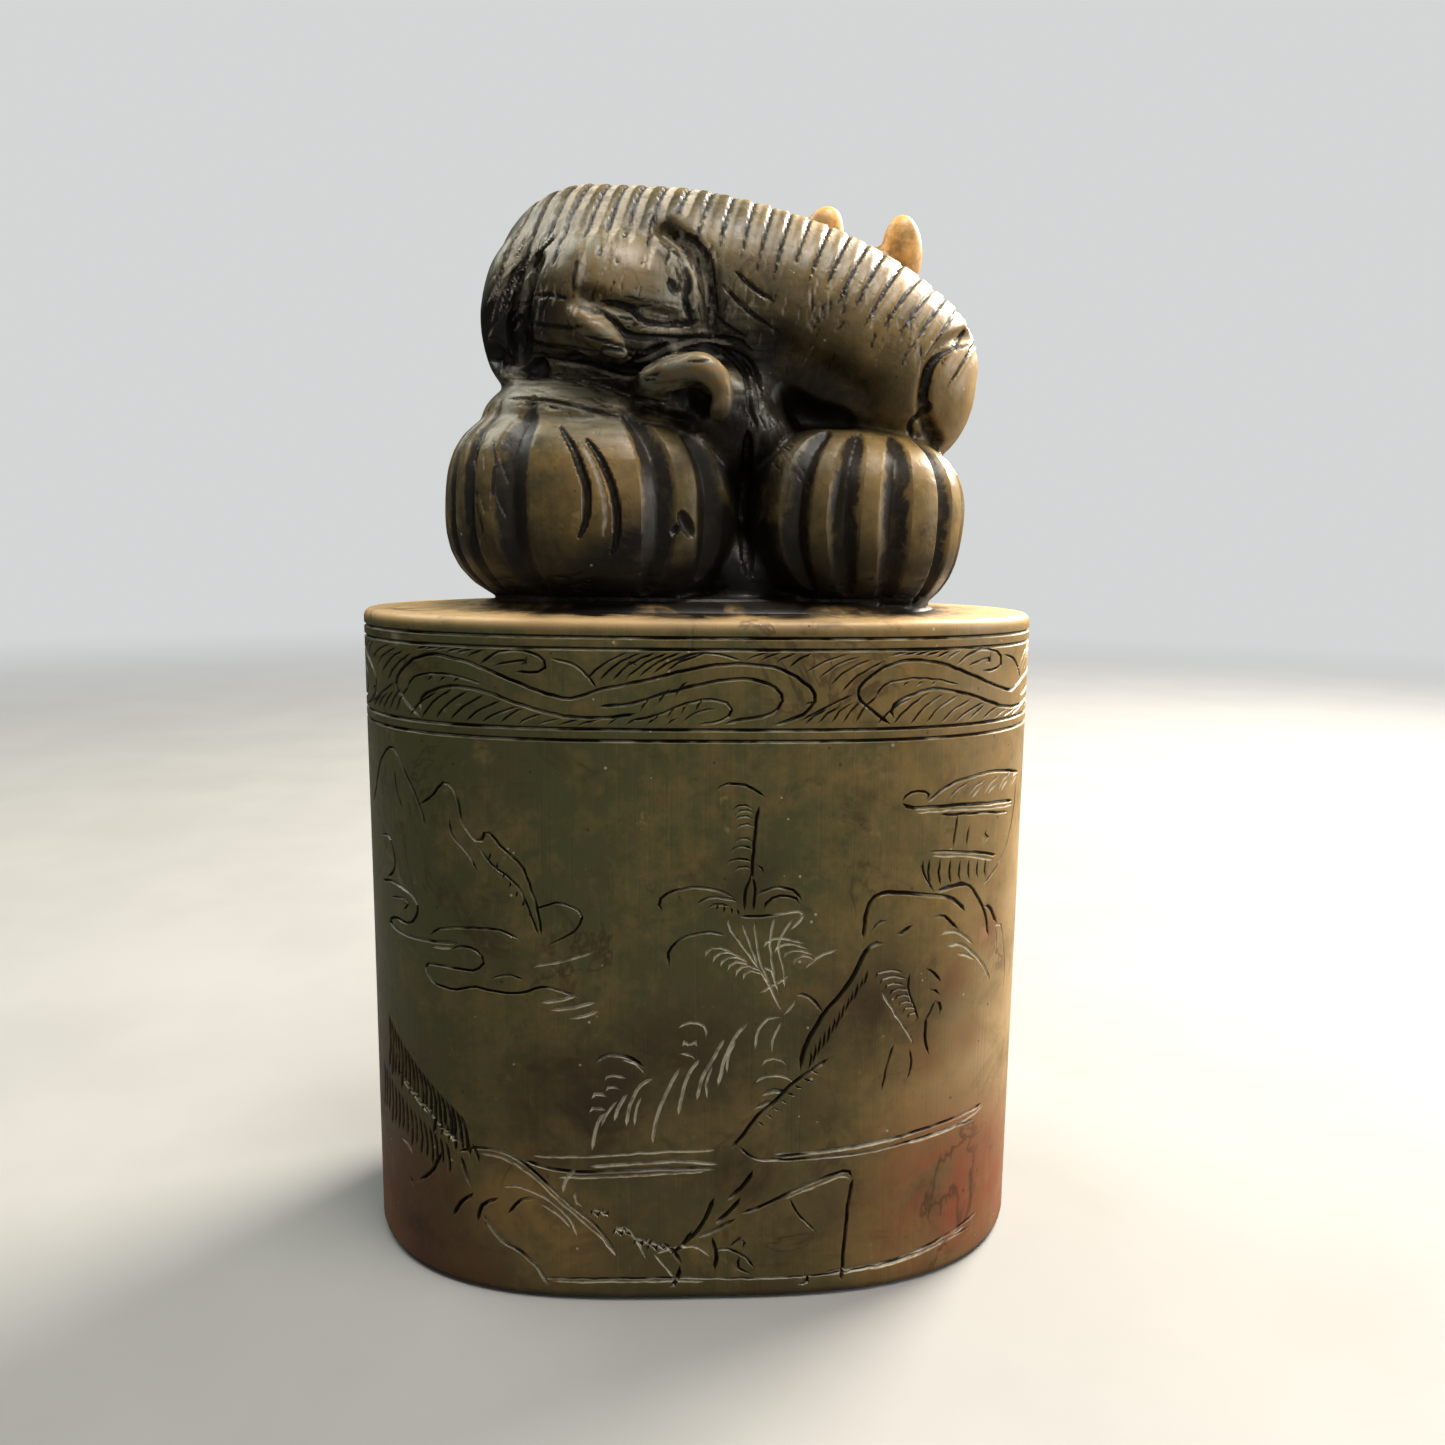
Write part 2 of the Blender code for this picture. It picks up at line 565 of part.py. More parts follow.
def block():
    """The wall, engraved, with a rounded foot and rim, a flat seal face and a slightly domed top."""
    columns = column_places()
    foot, rim = BOTTOM_ROUNDING, BLOCK_HEIGHT - TOP_ROUNDING
    points, edges = [], []

    def add(row):
        first = len(points)
        points.extend(row)
        edges.extend((first + step, first + step + 1) for step in range(len(row) - 1))

    add([(column, foot) for column in columns])
    add([(column, rim) for column in columns])
    for column in columns:
        add([(column, foot), (column, rim)])
    rings = ring_heights()
    for height in rings:
        for side in (-LINE_WIDTH / 2, 0.0, LINE_WIDTH / 2):
            add([(columns[0], height + side), (columns[-1], height + side)])
    lines = engraved_lines()
    for line in lines:
        for row in offset_sides(line):
            add([tuple(point) for point in row])
    # Worked out in millimetres, where the points aren't too close together to be told apart.
    corners = [Vector(point) * MILLIMETRES for point in points]
    flat, _, triangles, *_ = delaunay_2d_cdt(corners, edges, [], 0, MERGE / 10 * MILLIMETRES, False)
    flat = np.array(flat) / MILLIMETRES
    depths = depth_on_wall(flat, lines, rings)
    bm = bmesh.new()
    verts = [bm.verts.new(wall_point(x, z, depth)) for (x, z), depth in zip(flat, depths)]
    for triangle in triangles:
        bm.faces.new([verts[corner] for corner in triangle])
    closed_end(bm, columns[:-1], foot, -1)
    closed_end(bm, columns[:-1], rim, 1)
    bmesh.ops.remove_doubles(bm, verts=bm.verts, dist=MERGE)
    bmesh.ops.dissolve_degenerate(bm, edges=bm.edges, dist=MERGE / 2)
    bmesh.ops.triangulate(bm, faces=[face for face in bm.faces if len(face.verts) > 3])
    bmesh.ops.recalc_face_normals(bm, faces=bm.faces)
    mesh = bpy.data.meshes.new("seal")
    bm.to_mesh(mesh)
    bm.free()
    return placed("seal", mesh)


def closed_end(bm, columns, start, side):
    """Rounds the wall over and closes it: side is 1 for the top and -1 for the seal face."""
    rounding = TOP_ROUNDING if side > 0 else BOTTOM_ROUNDING
    rings = []
    for step in range(ROUNDING_STEPS + 1):
        turn = math.pi / 2 * step / ROUNDING_STEPS
        height = start + side * rounding * math.sin(turn)
        inset = rounding * (1.0 - math.cos(turn))
        rings.append([wall_point(column, height, inset) for column in columns])
    middle = Vector((0.0, 0.0, start + side * rounding))
    if side > 0:
        for share in DOME_RINGS:
            dome = Vector((0.0, 0.0, TOP_DOME * (1.0 - share**2)))
            rings.append([middle.lerp(point, share) + dome for point in rings[ROUNDING_STEPS]])
    rows = [[bm.verts.new(point) for point in ring] for ring in rings]
    for lower, upper in zip(rows, rows[1:]):
        for place in range(len(columns)):
            after = (place + 1) % len(columns)
            bm.faces.new((lower[place], lower[after], upper[after], upper[place]))
    bm.faces.new(rows[-1])


emptied_scene()
seal = block()
knob = carved_knob()
knob.location.z = BLOCK_HEIGHT
join = seal.modifiers.new("one stone", "BOOLEAN")
join.operation = "UNION"
join.solver = "EXACT"
join.object = knob
finished(seal)
bpy.data.objects.remove(knob)
seal.data.materials.clear()
seal.data.materials.append(stone())
seal.data.shade_smooth()
seal.data.set_sharp_from_angle(angle=math.radians(SHARP_ANGLE))
print("seal", len(seal.data.vertices), sum(len(face.vertices) - 2 for face in seal.data.polygons))
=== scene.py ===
import math
import random

import bmesh
import bpy
import numpy as np
from mathutils import Matrix, Vector
from mathutils.bvhtree import BVHTree
from mathutils.geometry import delaunay_2d_cdt, interpolate_bezier
from mathutils.kdtree import KDTree


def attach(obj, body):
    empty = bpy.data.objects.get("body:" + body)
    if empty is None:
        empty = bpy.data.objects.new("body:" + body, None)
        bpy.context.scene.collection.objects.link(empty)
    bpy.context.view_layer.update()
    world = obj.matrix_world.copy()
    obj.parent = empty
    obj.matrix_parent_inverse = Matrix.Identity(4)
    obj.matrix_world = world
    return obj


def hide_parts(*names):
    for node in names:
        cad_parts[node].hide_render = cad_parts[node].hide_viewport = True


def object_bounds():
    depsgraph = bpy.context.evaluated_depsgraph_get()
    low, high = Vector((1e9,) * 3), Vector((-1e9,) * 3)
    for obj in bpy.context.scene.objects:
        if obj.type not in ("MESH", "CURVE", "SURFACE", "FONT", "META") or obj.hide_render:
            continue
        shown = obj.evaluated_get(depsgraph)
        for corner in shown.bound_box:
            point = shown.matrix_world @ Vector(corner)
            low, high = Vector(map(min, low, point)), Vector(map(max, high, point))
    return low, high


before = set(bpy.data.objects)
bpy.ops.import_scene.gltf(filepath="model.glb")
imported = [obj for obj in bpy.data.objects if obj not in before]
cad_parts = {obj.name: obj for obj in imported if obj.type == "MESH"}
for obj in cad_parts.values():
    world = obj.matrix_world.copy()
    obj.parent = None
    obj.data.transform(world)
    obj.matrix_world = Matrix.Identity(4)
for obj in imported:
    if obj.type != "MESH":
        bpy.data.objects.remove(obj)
cadLow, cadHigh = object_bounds()
mm = 0.001
chance = random.Random(11)
print("frame: box", [round(side / mm, 2) for side in cadHigh - cadLow], "mm")


# Small helpers for working with operators as by hand

def nothingSelected():
    if bpy.context.object and bpy.context.object.mode != "OBJECT":
        bpy.ops.object.mode_set(mode="OBJECT")
    bpy.ops.object.select_all(action="DESELECT")


def makeActive(*pieces):
    nothingSelected()
    for piece in pieces:
        piece.select_set(True)
    bpy.context.view_layer.objects.active = pieces[0]


def applyAll(piece):
    makeActive(piece)
    for modifier in list(piece.modifiers):
        bpy.ops.object.modifier_apply(modifier=modifier.name)


def placesOf(mesh):
    places = np.empty(len(mesh.vertices) * 3)
    mesh.vertices.foreach_get("co", places)
    return places.reshape(-1, 3)


def writeMarks(mesh, name, values):
    layer = mesh.attributes.get(name) or mesh.attributes.new(name, "FLOAT", "POINT")
    layer.data.foreach_set("value", values)


def triangleCount(mesh):
    return sum(len(face.vertices) - 2 for face in mesh.polygons)


def smoothLine(points, steps):
    # a curve through all the points, flat or in space, with that many steps between each two
    points = [Vector((*point, 0.0)[:3]) for point in points]
    ends = [2 * points[0] - points[1], *points, 2 * points[-1] - points[-2]]
    route = []
    for before, start, end, after in zip(ends, ends[1:], ends[2:], ends[3:]):
        bendOut = start + (end - before) / 6
        bendIn = end - (after - start) / 6
        route += interpolate_bezier(start, bendOut, bendIn, end, steps + 1)[:-1]
    return [*route, points[-1]]


def roundRoute(route, places, half):
    # which places lie in the box round a route
    return ((places > route.min(0) - half) & (places < route.max(0) + half)).all(axis=1).nonzero()[0]


def nearestOn(route, places):
    # for each place its gap to the route, and how far along the route that is, from 0 to 1
    starts, runs = route[:-1], np.diff(route, axis=0)
    away = places[:, None, :] - starts[None]
    along = np.clip((away * runs).sum(2) / np.maximum((runs**2).sum(1), 1e-16), 0.0, 1.0)
    gaps = np.linalg.norm(away - along[..., None] * runs, axis=2)
    rows = np.arange(len(places))
    nearest = gaps.argmin(1)
    return gaps[rows, nearest], (nearest + along[rows, nearest]) / len(runs)


# Block: its outline is |x/a|^widthPower + |y/b|^depthPower = 1. Lengths along it start at the front's middle

block = {
    "height": 58 * mm, "widthPower": 3.1, "depthPower": 2.0, "spread": 0.015, "foot": 0.9 * mm,
    "rim": 0.7 * mm, "dome": 0.9 * mm, "domeRings": (0.75, 0.4), "roundSteps": 4, "columns": 112,
    "evenness": 0.7, "tableSteps": 2880, "seam": -67.8, "around": 154.1, "seamRoom": 0.3 * mm,
    "skin": 0.03 * mm, "unevenness": 0.05 * mm, "netUp": 1.6 * mm, "levelGap": 0.01 * mm,
}
blockGrow = 1 + block["spread"] * (1 - block["foot"] / block["height"])
blockWidth = (cadHigh.x - cadLow.x) / blockGrow
blockDepth = (cadHigh.y - cadLow.y) / blockGrow


def ovalTable():
    turns = np.linspace(-math.pi, math.pi, block["tableSteps"] + 1)
    across = np.sin(turns)
    rest = np.clip(1 - np.abs(across) ** block["widthPower"], 0, None) ** (1 / block["depthPower"])
    x = across * blockWidth / 2
    y = -np.sign(np.cos(turns)) * rest * blockDepth / 2
    lengths = np.concatenate([[0.0], np.cumsum(np.hypot(np.diff(x), np.diff(y)))])
    return lengths - lengths[-1] / 2, x, y


ovalLengths, ovalX, ovalY = ovalTable()
ovalLength = ovalLengths[-1] - ovalLengths[0]
wallUnit = ovalLength / block["around"]      # a millimetre along the wall, as the CAD measures it
seam = block["seam"] * wallUnit


def columnPlaces():
    # upright edges of the wall, closer together where the outline turns more
    turns = np.unwrap(np.arctan2(np.gradient(ovalY), np.gradient(ovalX)))
    pace = np.abs(np.diff(turns)) / (2 * math.pi) + block["evenness"] * np.diff(ovalLengths) / ovalLength
    paces = np.concatenate([[0.0], np.cumsum(pace)])
    places = np.interp(np.arange(block["columns"]) / block["columns"] * paces[-1], paces, ovalLengths)
    beyond = np.sort((places - seam) % ovalLength)
    clear = (beyond > block["seamRoom"]) & (beyond < ovalLength - block["seamRoom"])
    return [seam, *(seam + beyond[clear]), seam + ovalLength]


def handPolish(x, y, z):
    # slow unevenness of a surface ground by hand, always inwards
    waves = np.sin(x * 190 + z * 61 + 1.3) * np.sin(z * 143 - y * 87 + 0.4)
    waves = waves + np.sin(x * 77 - y * 120 - z * 96)
    return block["skin"] + block["unevenness"] * (waves * 0.25 + 0.5)


def wallPoints(lengths, heights, depths):
    # places on the wall, with the depth going into the stone
    lengths = (np.asarray(lengths, float) - ovalLengths[0]) % ovalLength + ovalLengths[0]
    heights = np.asarray(heights, float)
    x = np.interp(lengths, ovalLengths, ovalX)
    y = np.interp(lengths, ovalLengths, ovalY)
    halfX, halfY = blockWidth / 2, blockDepth / 2
    steepX = block["widthPower"] * np.abs(x / halfX) ** (block["widthPower"] - 1) * np.sign(x) / halfX
    steepY = block["depthPower"] * np.abs(y / halfY) ** (block["depthPower"] - 1) * np.sign(y) / halfY
    steep = np.hypot(steepX, steepY)
    grow = 1 + block["spread"] * (1 - heights / block["height"])
    depths = depths + handPolish(x, y, heights)
    return np.stack([x * grow - depths * steepX / steep, y * grow - depths * steepY / steep, heights], 1)


# Engraved strokes on the unrolled wall, in millimetres: (length, height)

cut = {      # widths and depths, and shares of a stroke's width or length
    "wide": 0.34, "deep": 0.24, "fineWide": 0.26, "fineDeep": 0.16, "fineDark": 0.85, "chalkWide": 0.27,
    "chalkDeep": 0.12, "boldWide": 0.38, "boldDeep": 0.16, "darkDeep": 0.7, "step": 0.65, "shake": 0.045,
    "lowest": 1.3, "merge": 0.02, "curveSteps": 3, "combBow": 0.12, "combLong": (0.85, 1.1),
    "hookLong": (0.9, 1.1),
}
strokes = []      # each one: points in metres, half width, depth, how dark and how chalky


def engrave(points, wide=None, deep=None, dark=1.0, chalk=0.0):
    # one stroke through given points, a little shaky as a hand-held burin leaves it
    wide = cut["wide"] if wide is None else wide
    deep = cut["deep"] if deep is None else deep
    line = smoothLine(points, cut["curveSteps"])
    length = sum((b - a).length for a, b in zip(line, line[1:]))
    count = max(2, round(length / cut["step"]))
    runs = np.concatenate([[0.0], np.cumsum([(b - a).length for a, b in zip(line, line[1:])])])
    even = np.linspace(0, runs[-1], count + 1)
    x = np.interp(even, runs, [point.x for point in line])
    z = np.interp(even, runs, [point.y for point in line])
    x = x + [chance.uniform(-1, 1) * cut["shake"] for _ in x]
    z = z + [chance.uniform(-1, 1) * cut["shake"] for _ in z]
    places = np.stack([x * wallUnit, np.maximum(z, cut["lowest"]) * mm], 1)
    if x.min() > block["seam"] + wide and x.max() < block["seam"] + block["around"] - wide:
        strokes.append((places, wide * mm / 2, deep * mm, dark, chalk))


def fine(*lines):
    for points in lines:
        engrave(points, cut["fineWide"], cut["fineDeep"], cut["fineDark"])


def chalky(*lines):
    for points in lines:
        engrave(points, cut["chalkWide"], cut["chalkDeep"], 0.0, 1.0)


def bold(*lines):
    # chalky too, but broader and deeper
    for points in lines:
        engrave(points, cut["boldWide"], cut["boldDeep"], 0.0, 1.0)


def dark(wide, *lines):
    for points in lines:
        engrave(points, wide, wide * cut["darkDeep"])


def arcLine(x, z, width, height, start, end, steps=5):
    turns = np.radians(np.linspace(start, end, steps + 1))
    return [(x + width / 2 * math.cos(turn), z + height / 2 * math.sin(turn)) for turn in turns]


def between(start, end, share):
    return start + (end - start) * share


def spaced(start, end, count):
    # places in a row from one to another, each with its share of the way
    for step in range(count):
        share = step / max(1, count - 1)
        yield share, between(start[0], end[0], share), between(start[1], end[1], share)


def comb(start, end, count, lean, long, draw=fine):
    # a row of short strokes between two places: lean and long go from the first one's value to the last's
    for share, x, z in spaced(start, end, count):
        turn = math.radians(between(*lean, share))
        reach = between(*long, share) * chance.uniform(*cut["combLong"])
        bend = turn + cut["combBow"]
        bow = (x + reach * 0.5 * math.cos(bend), z + reach * 0.5 * math.sin(bend))
        draw([(x, z), bow, (x + reach * math.cos(turn), z + reach * math.sin(turn))])


def hooks(start, end, count, wide, tall, draw=chalky):
    # leaf strokes that rise from their left end and roll over to the right, one below the other
    for share, x, z in spaced(start, end, count):
        reach = between(*wide, share) * chance.uniform(*cut["hookLong"])
        rise = (x + reach * 0.14, z + tall * 0.8)
        draw([(x, z), rise, (x + reach * 0.55, z + tall), (x + reach, z + tall * 0.45)])


def zigzag(x, z, wide, tall, count, draw=chalky):
    draw([(x + wide * step / count, z + (tall if step % 2 else 0.0)) for step in range(count + 1)])


border = {
    "rimBand": 1.4, "doubleLine": 0.9, "tall": 6.3, "scrolls": 4, "ringWide": 0.36, "ringDeep": 0.24,
    "edgeWide": 0.36, "edgeDeep": 0.26, "leafWide": 0.30, "leafDeep": 0.20,
    "upperEdge": ((0.150, 0.05), (0.100, 0.26), (0.074, 0.42), (0.088, 0.60), (0.130, 0.78), (0.190, 0.87),
                  (0.262, 0.81), (0.335, 0.67), (0.413, 0.49), (0.488, 0.38), (0.553, 0.50), (0.631, 0.60),
                  (0.756, 0.79), (0.860, 0.82), (0.932, 0.72), (0.985, 0.46), (0.968, 0.22), (0.900, 0.06)),
    "lowerEdge": ((0.155, 0.12), (0.150, 0.28), (0.190, 0.42), (0.245, 0.49), (0.320, 0.42), (0.410, 0.25),
                  (0.488, 0.15), (0.564, 0.15), (0.625, 0.21)),
    "curl": ((0.545, 0.28), (0.616, 0.33), (0.690, 0.47), (0.782, 0.61), (0.850, 0.64), (0.905, 0.53),
             (0.920, 0.36), (0.895, 0.20), (0.830, 0.13), (0.800, 0.07)),
    "smallCurl": ((0.610, 0.12), (0.665, 0.18), (0.714, 0.31), (0.768, 0.39), (0.806, 0.34), (0.818, 0.22),
                  (0.795, 0.12), (0.745, 0.07)),
    "heart": ((0.112, 0.40), (0.130, 0.55), (0.180, 0.63), (0.240, 0.62), (0.310, 0.53)),
    "hook": ((0.715, 0.09), (0.745, 0.22), (0.785, 0.27)),
    "leaf": ((0.300, 0.77), (0.335, 0.92), (0.385, 0.97), (0.430, 0.90), (0.440, 0.76), (0.415, 0.69),
             (0.375, 0.70)),
    "innerLeaf": ((0.330, 0.76), (0.370, 0.83), (0.405, 0.84), (0.385, 0.77)),
    "point": ((0.448, 0.88), (0.500, 0.80), (0.530, 0.62), (0.545, 0.50)),
    "eye": ((0.700, 0.83), (0.740, 0.95), (0.800, 0.93), (0.838, 0.86)),
}
borderTop = block["height"] / mm - border["rimBand"] - border["doubleLine"]
borderLow = borderTop - border["tall"]
ringHeights = (borderTop + border["doubleLine"], borderTop, borderLow, borderLow - border["doubleLine"])


def borderScrolls():
    # a wave that rolls over into a curl, four times round, with leaf arcs and feathered strokes beside it
    long = ovalLength / wallUnit / border["scrolls"]
    upper = np.array(border["upperEdge"][5:15])
    lower = np.array(border["lowerEdge"][2:])
    for copy in range(border["scrolls"]):
        def at(x, z):
            return block["seam"] + (copy + x) * long, borderLow + z * border["tall"]

        def feather(first, last, count, foot, tip, sway):
            # strokes between two edges, each given as a height at its place, leaning to the right
            for x in np.linspace(first, last, count):
                low, high = foot(x), tip(x + sway)
                fine([at(x, low), at(x + sway * 0.4, low + (high - low) * 0.56), at(x + sway, high)])

        for name in ("upperEdge", "lowerEdge", "curl"):
            engrave([at(*point) for point in border[name]], border["edgeWide"], border["edgeDeep"])
        for name in ("smallCurl", "leaf", "point"):
            engrave([at(*point) for point in border[name]], border["leafWide"], border["leafDeep"])
        for name in ("heart", "hook", "innerLeaf", "eye"):
            fine([at(*point) for point in border[name]])
        feather(0.115, 0.30, 6, lambda x: 0.03, lambda x: np.interp(x, *lower.T) - 0.03, 0.085)
        feather(0.34, 0.50, 5, lambda x: 0.03, lambda x: np.interp(x, *lower.T) - 0.03, 0.055)
        feather(0.56, 0.68, 4, lambda x: 0.03, lambda x: 0.16, 0.030)
        feather(0.14, 0.27, 6, lambda x: np.interp(x, *upper.T) + 0.05, lambda x: 0.97, 0.045)
        feather(0.52, 0.68, 7, lambda x: max(np.interp(x, *upper.T), 0.55) + 0.05, lambda x: 0.97, 0.090)
        feather(0.84, 0.93, 4, lambda x: np.interp(x, *upper.T) + 0.05, lambda x: 0.97, 0.050)
        feather(0.965, 1.04, 4, lambda x: 0.72 - (x - 0.965) * 3.4, lambda x: 0.95 - (x - 1.06) * 1.2, 0.090)
        feather(0.965, 1.07, 5, lambda x: 0.06, lambda x: 0.44 - (1.12 - x) * 1.6, 0.050)
        fine([at(0.955, 0.12), at(1.01, 0.29), at(1.068, 0.45)])
        feather(0.17, 0.235, 3, lambda x: 0.52, lambda x: 0.60, 0.020)
        feather(0.63, 0.70, 3, lambda x: (x - 0.55) * 2.6, lambda x: (x - 0.55) * 2.6 + 0.16, 0.030)
        feather(0.655, 0.74, 4, lambda x: (x - 0.61) * 1.6, lambda x: (x - 0.61) * 1.9 + 0.12, 0.022)
        zigzag(*at(0.60, 0.78), 1.0, 0.5, 4, fine)
        zigzag(*at(0.965, 0.30), 0.8, 0.4, 4, fine)


def farPeaks():
    dark(0.3, ((-31.9, 41.2), (-30.8, 42.8), (-29.4, 45.4), (-27.4, 46.8), (-26, 45.5), (-23.9, 42.4),
         (-23.2, 40.3)), ((-23.9, 42.4), (-22.6, 43.2), (-21.2, 44.6), (-20, 43.4), (-19.6, 41.4),
         (-18.1, 39.8), (-17.4, 40.9), (-16.1, 39.6), (-14.5, 38.2), (-13.7, 36.2), (-13.1, 33.9),
         (-12.9, 32.2)))
    fine(((-18.2, 39.6), (-17.1, 38.2), (-14.9, 36.6), (-13.9, 34.5), (-13.1, 32.3)), ((-20.8, 41.7),
         (-20.6, 40.2), (-19.2, 38.9), (-18.2, 37.3)), ((-27, 45), (-26.8, 43.2), (-26, 41.6)))
    dark(0.3, ((-29.8, 38.8), (-28.3, 38.9), (-27.4, 37.4), (-27.7, 35.9), (-28.9, 35.2)))
    comb((-17.0, 39.2), (-13.8, 34.6), 7, (-112, -100), (0.9, 0.7))


def clouds():
    dark(0.34, ((-29.9, 34.6), (-28, 35), (-25.8, 34.7), (-24.6, 33.9), (-24.5, 32.9), (-25.6, 31.8),
         (-27.4, 31.9), (-28.8, 31.3), (-26.4, 30.7), (-23.1, 30.8), (-20.2, 31.1)))
    dark(0.28, ((-23.1, 31.3), (-22.1, 32), (-18.9, 32.6), (-16.2, 32.6), (-14.6, 31.9)))
    dark(0.26, ((-13.5, 34.5), (-11.8, 35.2), (-10.3, 34.9), (-9.6, 34), (-10.3, 32.8), (-12.4, 31.6)))
    dark(0.3, ((-20.9, 30.4), (-19.9, 30.9), (-18.4, 30.7), (-17.9, 29.7), (-18.9, 28.9), (-21.4, 28.9),
         (-23.6, 28.7), (-23.5, 27.8), (-22.4, 27.1), (-20.6, 27), (-18.7, 27.5), (-16.4, 27.3),
         (-14.7, 27.4), (-13.3, 28), (-12, 28), (-9.8, 27.3)))
    fine(((-17.3, 28.4), (-15.7, 28.9), (-14.3, 28.5)), ((-28.2, 33.6), (-26.4, 33.9), (-25.6, 33.3),
         (-26.6, 32.8)))
    chalky(((-23, 30.3), (-20.6, 30.6)), ((-13.8, 29.7), (-11.2, 30.3), (-8.6, 31.2)))
    bold(((-13.2, 26.7), (-11.5, 27), (-9.8, 27.6)), ((-12.3, 26.1), (-10.4, 26.4), (-8.4, 27)),
         ((-10.8, 25.4), (-9.4, 25.7), (-8.1, 26.3)))


def tallTree():
    dark(0.3, ((0.9, 44.4), (1.6, 45), (2.9, 45.1), (4, 44.7), (4.95, 44)))
    dark(0.34, ((4.5, 43.4), (4.2, 41.9), (4.07, 40.2), (3.96, 38.9), (3.9, 37.6), (3.4, 36.3),
         (3.35, 34.6)))
    dark(0.3, ((3.9, 37.6), (4.2, 36.4), (4.1, 34.6)))
    for height, left in ((43.3, 2.2), (42.9, 2.4), (42.4, 2.3), (41.8, 2.5), (40.6, 2.3), (39.9, 2.1),
                         (38.9, 1.8), (38.3, 2.4)):
        fine(((left, height - 0.5), (left + 0.5, height), (3.4, height + 0.1), (4.1, height - 0.25)))
    fine(((4.2, 38.6), (4.7, 38.2), (5, 37.6)))
    dark(0.3, ((-3.1, 34.6), (-3.5, 35.5), (-2.4, 36.3), (-0.4, 36.6), (1.55, 36.3), (2.6, 35.7)),
         ((-0.5, 35.2), (0.3, 35.7), (1.55, 35.8), (2.9, 35.4)), ((0.3, 34.8), (1.2, 35.2), (2.4, 35)),
         ((4.2, 35.9), (5.1, 36.4), (6.4, 36.6), (7.5, 36.2), (8.1, 35.4)), ((4.9, 34.6), (5.3, 35.5),
         (6.4, 35.9), (7.5, 35.7), (7.9, 35.1)), ((2.9, 34.2), (4.8, 34.2), (6.6, 34.4)), ((-2.6, 29.8),
         (-2.7, 31.2), (-1.5, 32.4), (0.5, 32.9), (2, 32.6)))
    comb((1.2, 35.4), (2.8, 34.9), 4, (-100, -80), (0.8, 0.8))
    chalky(((2.1, 34.2), (2.4, 32.9), (4.8, 29.5), (6.6, 26)), ((3.2, 33.8), (3.9, 31.8), (4.6, 29.9)),
           ((4.2, 33.8), (4.7, 30.4), (5.9, 27.6)), ((5.9, 34.3), (5.5, 32.5), (5.7, 30.1), (6, 28.4)),
           ((7.5, 34.2), (6.2, 32), (6.6, 29.9), (6.8, 27.9)), ((5.2, 34.3), (8.3, 34.5), (7, 32.9)),
           ((4.6, 27.6), (6, 28.4), (7.2, 29.2)), ((4.4, 30), (5.6, 29.6), (6.3, 27.6)))
    hooks((0.2, 30.6), (3.3, 28.6), 6, (2.6, 2.0), 1.0)
    hooks((4.9, 31.4), (7.4, 29.9), 4, (3.2, 2.0), 0.9)
    chalky(((8.3, 29.6), (9.4, 30.6), (11.2, 31.3)))


def pavilion():
    dark(0.3, ((16.1, 43.3), (16.6, 43.9), (17.7, 44.2), (18.6, 43.9), (18.4, 43.2)))
    dark(0.36, ((18.4, 43.1), (20.2, 44.3), (22.6, 44.9), (26.6, 45), (30.9, 44.2)))
    dark(0.4, ((16.1, 43.3), (17.2, 42.8), (21, 42.7), (25.6, 42.3), (29.6, 41.9)))
    chalky(((17.4, 42.4), (21.4, 42.3), (25.8, 41.9), (29.8, 41.5)))
    dark(0.3, ((19.6, 42), (24, 41.7), (28.6, 41)))
    for tile in range(5):
        x = 20.6 + tile * 2.0
        fine(((x, 43.2), (x + 0.8, 44.0), (x + 2.2, 44.6)))
        if tile:
            chalky(((x + 0.4, 43.0), (x + 1.2, 43.7), (x + 2.0, 44.0)))
    dark(0.28, ((30.4, 43.4), (30.1, 41.2), (29.4, 39.4), (28.2, 37.6), (26.6, 36.2), (25, 35.2)))
    fine(((21.6, 42), (21.4, 40.6), (21.2, 39)), ((23, 40.9), (22.8, 40), (22.7, 38.8)), ((25.2, 40.3),
         (24.9, 39.8), (25.5, 39.4), (25, 38.9)))
    dark(0.34, ((18.8, 39), (21.8, 38.6), (24.4, 38.2), (26.9, 37.5)))
    chalky(((19, 38.6), (22.4, 38.2), (26.4, 37.2)))
    dark(0.28, ((18.3, 38.4), (18.3, 37.2), (19.5, 35.4)))
    for baluster in range(7):
        x = 18.9 + baluster * 1.05
        dark(0.26, ((x, 38.4 - baluster * 0.12), (x - 0.1, 37.2 - baluster * 0.1), (x + 0.15, 35.9)))
    dark(0.3, ((19.4, 35.5), (21.2, 35.8), (22.9, 35.9)))


